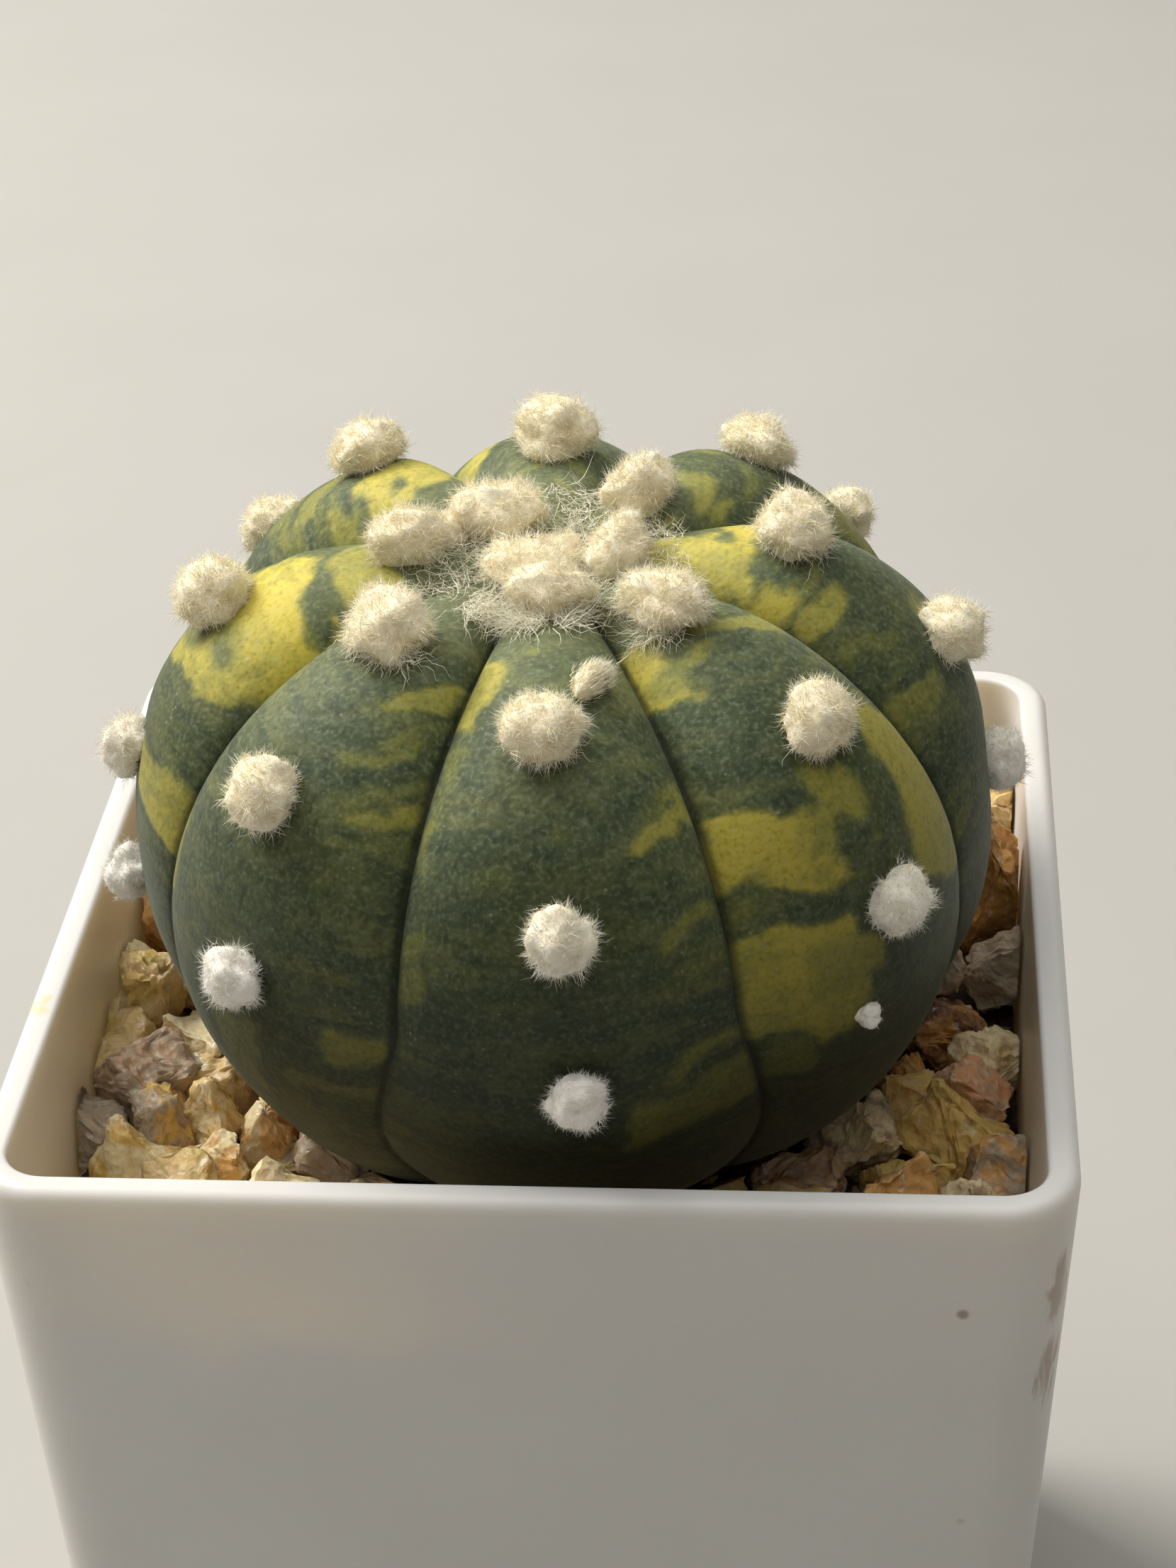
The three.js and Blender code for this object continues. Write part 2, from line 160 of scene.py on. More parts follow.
# %% Helpers for materials
class Finish:
    """A material with one Principled shader, and short calls that add nodes to it."""

    def __init__(self, name, **shader_values):
        self.material = bpy.data.materials.new(name)
        self.material.use_nodes = True
        self.nodes = self.material.node_tree.nodes
        self.shader = self.nodes["Principled BSDF"]
        for socket, value in shader_values.items():
            self.shader.inputs[socket.replace("_", " ")].default_value = value
        self.place = self.nodes.new("ShaderNodeTexCoord").outputs["Object"]

    def link(self, source, target):
        if isinstance(source, bpy.types.NodeSocket):
            self.material.node_tree.links.new(source, target)
        else:
            target.default_value = source

    def add(self, kind, inputs, output=0, **settings):
        node = self.nodes.new("ShaderNode" + kind)
        for setting, value in settings.items():
            setattr(node, setting, value)
        for socket, source in inputs.items():
            self.link(source, node.inputs[socket])
        return node.outputs[output]

    def maths(self, operation, a, b=0.0, clamp=False):
        return self.add("Math", {0: a, 1: b}, operation=operation, use_clamp=clamp)

    def attribute(self, name, output="Fac"):
        return self.add("Attribute", {}, output, attribute_name=name)

    def noise(self, scale, detail=3.0, place=None, distortion=0.0):
        return self.add("TexNoise", {
            "Vector": place or self.place,
            "Scale": scale,
            "Detail": detail,
            "Distortion": distortion,
        })

    def cells(self, scale, output="Distance"):
        return self.add("TexVoronoi", {"Vector": self.place, "Scale": scale}, output)

    def step(self, value, low, high):
        """0 below low, 1 above high, and smooth between them."""
        return self.add("MapRange", {"Value": value, "From Min": low, "From Max": high},
                        interpolation_type="SMOOTHSTEP")

    def band(self, value, low, high, amount):
        """0 below low, and the amount above high."""
        return self.maths("MULTIPLY", self.step(value, low, high), amount)

    def swing(self, value, amount):
        """A noise's rise and fall about its middle, made larger or smaller."""
        return self.maths("MULTIPLY", self.maths("SUBTRACT", value, 0.5), amount)

    def mix(self, share, a, b, blend="MIX"):
        node = self.nodes.new("ShaderNodeMix")
        node.data_type = "RGBA"
        node.blend_type = blend
        self.link(share, node.inputs[0])
        self.link(a, node.inputs[6])
        self.link(b, node.inputs[7])
        return node.outputs[2]

    def tint(self, base, mask, amount, colour, blend="MIX"):
        """Lays a colour over the base where the mask is 1, as strongly as the amount says."""
        return self.mix(self.maths("MULTIPLY", mask, amount), base, colour, blend)

    def ramp(self, value, *stops):
        """A colour for each place from 0 to 1."""
        node = self.nodes.new("ShaderNodeValToRGB")
        self.link(value, node.inputs[0])
        elements = node.color_ramp.elements
        while len(elements) < len(stops):
            elements.new(1)
        for element, (place, colour) in zip(elements, stops):
            element.position = place
            element.color = colour
        return node.outputs[0]

    def scaled(self, x, y, z, place=None):
        return self.add("Mapping", {"Vector": place or self.place, "Scale": (x, y, z)})

    def colour(self, source):
        self.link(source, self.shader.inputs["Base Color"])

    def roughness(self, value, lowest, highest):
        """Roughness that follows a noise from a lowest to a highest value."""
        spread = self.add("MapRange", {"Value": value, "To Min": lowest, "To Max": highest})
        self.link(spread, self.shader.inputs["Roughness"])

    def bump(self, height, depth, under=None):
        """Relief of a height from 0 to 1, over another relief where one is given."""
        inputs = {"Height": height, "Distance": depth}
        if under:
            inputs["Normal"] = under
        raised = self.add("Bump", inputs)
        self.link(raised, self.shader.inputs["Normal"])
        return raised


def tone(red, green, blue):
    """A colour as it is read from a screen, 0 to 255, in the linear values that shaders use."""
    def linear(value):
        share = value / 255
        return share / 12.92 if share <= 0.04045 else ((share + 0.055) / 1.055) ** 2.4
    return (linear(red), linear(green), linear(blue), 1)


# %% [markdown]
# ## The pot
# The real pot is one thin moulding of satin white plastic: square with round corners, sides that taper
# down, a plain flat rim, four corner feet and five drain holes. It could be lofted between two outlines,
# but a block is simpler: its upright edges are bevelled to round corners, its top is inset by the wall
# and pushed down to the floor, and the whole is tapered at the end.

# %% Pot sizes
RIM_WIDTH = 70 * MM
BASE_WIDTH = 61 * MM
POT_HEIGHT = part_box("pot")[1].z
CORNER_RADIUS = 5 * MM
RIM_WALL = 2.1 * MM
BASE_WALL = 1.4 * MM
INNER_ROUNDING = 0.35 * MM
OUTER_ROUNDING = 1.0 * MM
FLOOR_THICKNESS = 1.6 * MM
FOOT_HEIGHT = 1.2 * MM
FOOT_WIDTH = 3.4 * MM
FOOT_CHANNEL = 24 * MM
DRAIN_RADIUS = 3 * MM
DRAIN_OFFSET = 15 * MM
CORNER_STEPS = 12
OUTER_STEPS = 6
INNER_STEPS = 4
FOOT_STEPS = 2
DRAIN_STEPS = 32
CREASE_ANGLE = math.radians(40)
POT_SHARP_ANGLE = math.radians(35)
FACING = 0.99
TINY = 0.01 * MM


def half_width_at(z, wall=0):
    """Half the pot's width at a height: outside with wall 0, inside with wall 1."""
    share = z / POT_HEIGHT
    return lerp(BASE_WIDTH, RIM_WIDTH, share) / 2 - wall * lerp(BASE_WALL, RIM_WALL, share)


print("inner width at the rim:", round(2 * half_width_at(POT_HEIGHT, 1) / MM, 1), "mm")


# %% [markdown]
# The feet need the underside cut at the channels' sides. Bisecting only the underside's rim of faces
# gives those cuts, and the four corner groups are then extruded down. The drain holes are the one thing
# that is easier to cut than to grow, so a Boolean modifier does that.

# %% Pot shell
def facing_faces(bm, direction, height):
    """The faces that look along a direction and lie at a height."""
    return [face for face in bm.faces if face.normal.dot(direction) > FACING
            and abs(face.calc_center_median().z - height) < TINY]


def taper_pot(bm, inner_verts):
    """Scales each level of the straight block to the pot's width there."""
    for vert in bm.verts:
        wall = 1 if vert in inner_verts else 0
        scale = half_width_at(vert.co.z, wall) / half_width_at(POT_HEIGHT, wall)
        vert.co.x *= scale
        vert.co.y *= scale


def round_edges(bm, height, inner, width, segments):
    """Bevels the sharp level edges at a height, those outside or inside the wall's middle."""
    bm.normal_update()
    middle = half_width_at(height, 0.5)
    edges = [edge for edge in bm.edges
             if all(abs(vert.co.z - height) < TINY for vert in edge.verts)
             and edge.calc_face_angle(0) > CREASE_ANGLE
             and (wall_distance(edge) < middle) == inner]
    bmesh.ops.bevel(bm, geom=edges, offset=width, offset_type="OFFSET", segments=segments, profile=0.5,
                    affect="EDGES", material=-1)


def wall_distance(edge):
    """How far an edge is from the axis, measured square to the nearer wall, with the corners' cut."""
    centre = (edge.verts[0].co + edge.verts[1].co) / 2
    corner = half_width_at(centre.z) - CORNER_RADIUS
    over_x = abs(centre.x) - corner
    over_y = abs(centre.y) - corner
    if over_x > 0 and over_y > 0:
        return corner + math.hypot(over_x, over_y)
    return max(abs(centre.x), abs(centre.y))


def make_pot_block():
    bm = bmesh.new()
    bmesh.ops.create_cube(bm, size=1)
    bmesh.ops.translate(bm, verts=bm.verts, vec=(0, 0, 0.5))
    bmesh.ops.scale(bm, verts=bm.verts, vec=(RIM_WIDTH, RIM_WIDTH, POT_HEIGHT - FOOT_HEIGHT))
    bmesh.ops.translate(bm, verts=bm.verts, vec=(0, 0, FOOT_HEIGHT))
    upright = [edge for edge in bm.edges if abs(edge.verts[0].co.z - edge.verts[1].co.z) > TINY]
    bmesh.ops.bevel(bm, geom=upright, offset=CORNER_RADIUS, offset_type="OFFSET", segments=CORNER_STEPS,
                    profile=0.5, affect="EDGES", material=-1)
    bm.normal_update()
    top = facing_faces(bm, Vector((0, 0, 1)), POT_HEIGHT)
    bmesh.ops.inset_region(bm, faces=top, thickness=RIM_WALL, use_even_offset=True)
    pushed = bmesh.ops.extrude_discrete_faces(bm, faces=top)["faces"]
    inner_verts = set(pushed[0].verts)
    bmesh.ops.translate(bm, verts=pushed[0].verts,
                        vec=(0, 0, FOOT_HEIGHT + FLOOR_THICKNESS - POT_HEIGHT))
    for vert in pushed[0].verts:
        for edge in vert.link_edges:
            inner_verts.add(edge.other_vert(vert))
    taper_pot(bm, inner_verts)
    return bm


def add_feet(bm):
    bm.normal_update()
    underside = facing_faces(bm, Vector((0, 0, -1)), FOOT_HEIGHT)
    ring = bmesh.ops.inset_region(bm, faces=underside, thickness=FOOT_WIDTH,
                                  use_even_offset=True)["faces"]
    for axis in (Vector((1, 0, 0)), Vector((0, 1, 0))):
        for side in (-1, 1):
            ring_edges = {edge for face in ring for edge in face.edges}
            cut = bmesh.ops.bisect_plane(bm, geom=ring + list(ring_edges), dist=TINY,
                                         plane_co=axis * side * FOOT_CHANNEL / 2, plane_no=axis)
            ring = [part for part in cut["geom"] if isinstance(part, bmesh.types.BMFace)]
    feet = [face for face in ring
            if min(abs(face.calc_center_median().x), abs(face.calc_center_median().y))
            > FOOT_CHANNEL / 2]
    grown = bmesh.ops.extrude_face_region(bm, geom=feet)["geom"]
    lowered = [part for part in grown if isinstance(part, bmesh.types.BMVert)]
    bmesh.ops.translate(bm, verts=lowered, vec=(0, 0, -FOOT_HEIGHT))


def drain_cutters():
    bm = bmesh.new()
    places = [(0, 0)]
    places += [(x, y) for x in (-DRAIN_OFFSET, DRAIN_OFFSET) for y in (-DRAIN_OFFSET, DRAIN_OFFSET)]
    for x, y in places:
        bmesh.ops.create_cone(bm, cap_ends=True, segments=DRAIN_STEPS, radius1=DRAIN_RADIUS,
                              radius2=DRAIN_RADIUS, depth=4 * FOOT_HEIGHT,
                              matrix=Matrix.Translation((x, y, FOOT_HEIGHT)))
    return bpy.data.objects.new("drain_cutters", as_mesh(bm, "drain_cutters"))


def cut_away(piece, cutter):
    """Applies a Boolean difference and removes the cutter."""
    bpy.context.scene.collection.objects.link(cutter)
    modifier = piece.modifiers.new("cut", "BOOLEAN")
    modifier.object = cutter
    modifier.operation = "DIFFERENCE"
    modifier.solver = "EXACT"
    bpy.context.view_layer.update()
    evaluated = piece.evaluated_get(bpy.context.evaluated_depsgraph_get())
    cut_mesh = bpy.data.meshes.new_from_object(evaluated)
    piece.modifiers.remove(modifier)
    piece.data = cut_mesh
    bpy.data.objects.remove(cutter)


def make_pot(material):
    bm = make_pot_block()
    add_feet(bm)
    round_edges(bm, POT_HEIGHT, False, OUTER_ROUNDING, OUTER_STEPS)
    round_edges(bm, POT_HEIGHT, True, INNER_ROUNDING, INNER_STEPS)
    round_edges(bm, 0, False, FOOT_HEIGHT / 4, FOOT_STEPS)
    bmesh.ops.recalc_face_normals(bm, faces=bm.faces)
    pot = finish_piece(bm, "pot_shell", material, POT_SHARP_ANGLE)
    cut_away(pot, drain_cutters())
    pot.data.set_sharp_from_angle(angle=POT_SHARP_ANGLE)
    even = pot.modifiers.new("even_shading", "WEIGHTED_NORMAL")
    even.keep_sharp = True
    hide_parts("pot")


# %% [markdown]
# The plastic is white with a satin gloss. Thin plastic lets some light through, which subsurface gives:
# it warms the wall's shaded inside. Up close there are the faint orange peel of a mould and dust specks,
# with two brown smears at the right front corner, where wet mix ran over the edge, and a yellowish one on
# the left rim. All of it is a pattern on Object coordinates, so it stays where it is on the pot.

# %% Pot finish
# The middle of each smear, its stretch along z as the pattern's scale, and its stain
SMEARS = [
    (Vector((33.6, -32.2, 67.5)) * MM, 0.45, tone(150, 120, 92)),
    (Vector((33, -31.8, 60.5)) * MM, 0.45, tone(150, 120, 92)),
    (Vector((-34.2, -14, 74.8)) * MM, 1, tone(214, 200, 140)),
]
SMEAR_REACH = 3.4 * MM
STREAK_SCALE = 900
CLOUD_SCALE = 60
SPECK_SCALE = 190
SPECK_PATCH_SCALE = 75
RUBBED_SCALE = 240
PEEL_SCALE = 1100
PEEL_DEPTH = 0.006 * MM
UNEVEN_DEPTH = 0.12 * MM


def pot_material():
    finish = Finish("white_plastic", Roughness=0.36, Specular_IOR_Level=0.45, Subsurface_Weight=0.4,
                    Subsurface_Radius=(1, 0.72, 0.4), Subsurface_Scale=5 * MM)
    cloud = finish.noise(CLOUD_SCALE, 4)
    base = finish.mix(cloud, tone(214, 211, 206), tone(224, 222, 217))
    speck_shape = finish.step(finish.cells(SPECK_SCALE), 0.11, 0.05)
    speck_here = finish.step(finish.noise(SPECK_PATCH_SCALE, 2), 0.6, 0.66)
    specks = finish.maths("MULTIPLY", speck_shape, speck_here)
    base = finish.tint(base, specks, 0.65, tone(112, 96, 74))
    streaks = finish.noise(STREAK_SCALE, 4, finish.scaled(1, 1, 0.22), 1.5)
    for middle, upright_scale, stain in SMEARS:
        offset = finish.add("VectorMath", {0: finish.place, 1: middle}, operation="SUBTRACT")
        drawn_out = finish.scaled(1, 1, upright_scale, offset)
        distance = finish.add("VectorMath", {0: drawn_out}, "Value", operation="LENGTH")
        near = finish.step(distance, SMEAR_REACH, 0)
        smear = finish.step(finish.maths("MULTIPLY", near, streaks), 0.3, 0.52)
        base = finish.tint(base, smear, 0.6, stain)
    finish.colour(base)
    finish.roughness(finish.noise(RUBBED_SCALE, 3), 0.3, 0.46)
    peel = finish.bump(finish.noise(PEEL_SCALE, 2), PEEL_DEPTH)
    finish.bump(cloud, UNEVEN_DEPTH, under=peel)
    return finish.material


make_pot(pot_material())

# %% [markdown]
# ## The potting mix
# Only dark gaps between the stones show it, so the plain solid stays, with a finish of its own: dark
# brown crumbs with a few pale bits of grit.

# %% Potting mix
EARTH_SCALE = 400
CRUMB_SCALE = 900
CRUMB_DEPTH = 0.4 * MM


def soil_material():
    finish = Finish("potting_mix", Roughness=0.95, Specular_IOR_Level=0.2)
    crumbs = finish.cells(CRUMB_SCALE, "Color")
    dark = finish.mix(finish.noise(EARTH_SCALE, 5), tone(38, 30, 24), tone(74, 58, 44))
    pale = finish.step(finish.add("SeparateColor", {0: crumbs}, "Red"), 0.88, 0.9)
    finish.colour(finish.mix(pale, dark, tone(140, 122, 96)))
    finish.bump(finish.cells(CRUMB_SCALE), CRUMB_DEPTH)
    return finish.material


SOIL = soil_material()
soil_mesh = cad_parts["soil"].data
soil_mesh.materials.clear()
soil_mesh.materials.append(SOIL)

# %% [markdown]
# ## The form of the plant
# A star cactus is a squat ball with a dimpled crown. Two superellipses of revolution describe it, one
# through the ridges and one through the grooves, and across a rib the skin swings from one to the other.
# The formula gives a point of the skin from three things: how far down it lies, which rib it is on, and
# how far across the rib. Wool, markings and gravel all use the same formula, so they fit the skin.

# %% Plant form
RIBS = 8
FRONT_RIB_TURN = 0.089
BODY_CENTRE = Vector((0.8, -2.5, 83.2)) * MM
BODY_RADIUS = 29 * MM
CROWN_HEIGHT = 23 * MM
FOOT_DEPTH = 25.2 * MM
CROWN_POWER = 2.6
FOOT_POWER = 1.95
GROOVE_POWER = 2.1
WAIST_GROOVE = 1.2 * MM
CROWN_GROOVE = 2.9 * MM
FOOT_GROOVE = 1.6 * MM
RIB_ROUNDNESS = 0.62
DIMPLE_RADIUS = 18 * MM
ROOT_FADE_RADIUS = 10 * MM
LEAN = Vector((-0.013, -0.067))


def superellipse(psi, radius, up, down, up_power):
    """Distance from the axis and height, psi from the growing point, 0, to the root, pi."""
    above = math.cos(psi) >= 0
    power = 2 / (up_power if above else FOOT_POWER)
    height = (up if above else -down) * abs(math.cos(psi)) ** power
    return radius * abs(math.sin(psi)) ** power, height


def leaning(x, y, z):
    return Vector((x + z * LEAN.x, y + z * LEAN.y, z - x * LEAN.x - y * LEAN.y)) + BODY_CENTRE


def rib_turn(rib, across):
    return FRONT_RIB_TURN + (2 * rib + across) * math.pi / RIBS - math.pi / 2


def skin_point(psi, rib, across, twist=0.0):
    """A point of the skin. across runs from one groove, -1, over the ridge, 0, to the next, 1."""
    ridge_r, ridge_z = superellipse(psi, BODY_RADIUS, CROWN_HEIGHT, FOOT_DEPTH, CROWN_POWER)
    groove_r, groove_z = superellipse(psi, BODY_RADIUS - WAIST_GROOVE, CROWN_HEIGHT - CROWN_GROOVE,
                                      FOOT_DEPTH - FOOT_GROOVE, GROOVE_POWER)
    fade = DIMPLE_RADIUS if math.cos(psi) > 0 else ROOT_FADE_RADIUS
    rise = max(1 - across * across, 0) ** RIB_ROUNDNESS * smooth(ridge_r / fade)
    r = lerp(groove_r, ridge_r, rise)
    z = lerp(groove_z, ridge_z, rise)
    turn = rib_turn(rib, across) + twist
    return leaning(r * math.cos(turn), r * math.sin(turn), z)


WALK_STEP = 0.004


def ridge_walk():
    """How far along a ridge each step of psi is from the growing point."""
    walk = [(0, 0)]
    here = skin_point(WALK_STEP, 0, 0)
    psi = WALK_STEP
    while psi < math.pi - WALK_STEP:
        psi += WALK_STEP
        following = skin_point(psi, 0, 0)
        walk.append((psi, walk[-1][1] + (following - here).length))
        here = following
    return walk


RIDGE_WALK = ridge_walk()


def along_at(psi):
    """The distance along the ridge from the growing point, in metres."""
    step = min(int(psi / WALK_STEP), len(RIDGE_WALK) - 1)
    return RIDGE_WALK[step][1]


def psi_at(along):
    return next(psi for psi, walked in RIDGE_WALK if walked >= along)


# Two ribs stand a little higher near the crown
RIB_LIFTS = {3: 0.5 * MM, 5: 1.0 * MM}
LIFT_PLACE = 14 * MM
LIFT_REACH = 9 * MM


def rib_lift(rib, along):
    """How far a ridge stands above the formula's."""
    distance = (along - LIFT_PLACE) / LIFT_REACH
    return RIB_LIFTS.get(rib, 0) * math.exp(-distance ** 2)


def skin_site(rib, along, aside=0.0):
    """A place on the skin with its axes: sideways along the groove line, and straight out."""
    psi = psi_at(along)
    on_ridge = skin_point(psi, rib, 0)
    axis_distance = math.hypot(on_ridge.x - BODY_CENTRE.x, on_ridge.y - BODY_CENTRE.y)
    across = aside / (axis_distance * math.pi / RIBS)
    point = skin_point(psi, rib, across)
    downhill = skin_point(psi + WALK_STEP, rib, across) - point
    sideways = skin_point(psi, rib, across + WALK_STEP) - point
    out = downhill.cross(sideways).normalized()
    turn = out.to_track_quat("Z", "Y").to_matrix().to_4x4()
    return point + out * rib_lift(rib, along), out, turn


print("a ridge is", round(RIDGE_WALK[-1][1] / MM), "mm long from the growing point to the root")

# %% [markdown]
# ## The places of the tufts
# Each rib has tufts in a row, given as distances from the growing point in mm, youngest first. Two small
# ones stand beside a ridge. The tufts shrink a little with age.

# %% Tuft places
RIB_TUFTS = [
    [19.5, 31.7, 42.3],
    [11.3, 23.5, 35.6],
    [15.7, 27.8, 38.8],
    [19.8, 30],
    [14.2, 27, 39],
    [17.5, 28.5],
    [9.1, 21.9, 34.4, 43.9],
    [13.9, 26.6, 38.2],
]
# Rib, distance along and aside, and width, in mm
SIDE_TUFTS = [(0, 16.2, 2.5, 3.3), (1, 43, -2.4, 1.8)]
# How far some tufts stand beside their ridge in mm, by rib and distance along it
TUFT_SHIFTS = {
    (0, 19.5): -0.5, (0, 42.3): 0.5,
    (1, 11.3): -1, (1, 35.6): 0.5,
    (2, 27.8): -1.1,
    (3, 30): -1.6,
    (4, 14.2): -0.5,
    (5, 17.5): -0.7, (5, 28.5): 1,
    (6, 9.1): -0.5, (6, 21.9): -0.7, (6, 43.9): 0.8,
}
# The stretch of tufts that aren't round: sideways, up and down the slope, and out
TUFT_STRETCHES = {
    (1, 11.3): (1.12, 0.82, 0.66),
    (2, 15.7): (1.05, 0.9, 0.9),
    (3, 19.8): (1.12, 0.95, 0.68),
    (5, 17.5): (1.1, 0.95, 0.75),
    (6, 9.1): (0.86, 0.86, 0.8),
}
YOUNG_TUFT_WIDTH = 6.1
TUFT_SHRINK = 0.05


def tuft_list():
    """Rib, distance along and aside, and width of every tuft on the ridges, in millimetres."""
    rows = [(rib, along, TUFT_SHIFTS.get((rib, along), 0), YOUNG_TUFT_WIDTH - TUFT_SHRINK * along)
            for rib, distances in enumerate(RIB_TUFTS) for along in distances]
    return rows + SIDE_TUFTS


print(len(tuft_list()), "tufts stand on the ridges")

# %% [markdown]
# ## The markings
# The yellow patches are blocks, bands and slanting streaks that lie across the ribs. A picture could
# paint them, but then they would be as coarse as its pixels and would stretch at the crown. Instead
# each marking is a rounded box in the rib's own measure, and the skin keeps two numbers per point: how
# near it is to a marking's edge, and how yellow that marking is. The finish then frays the edges finely.
# A row is: rib, middle along the ridge in mm, middle across (-1 to 1), half length along in mm, half
# length across, slant in mm, and depth of yellow, where 0 paints green over what came before.

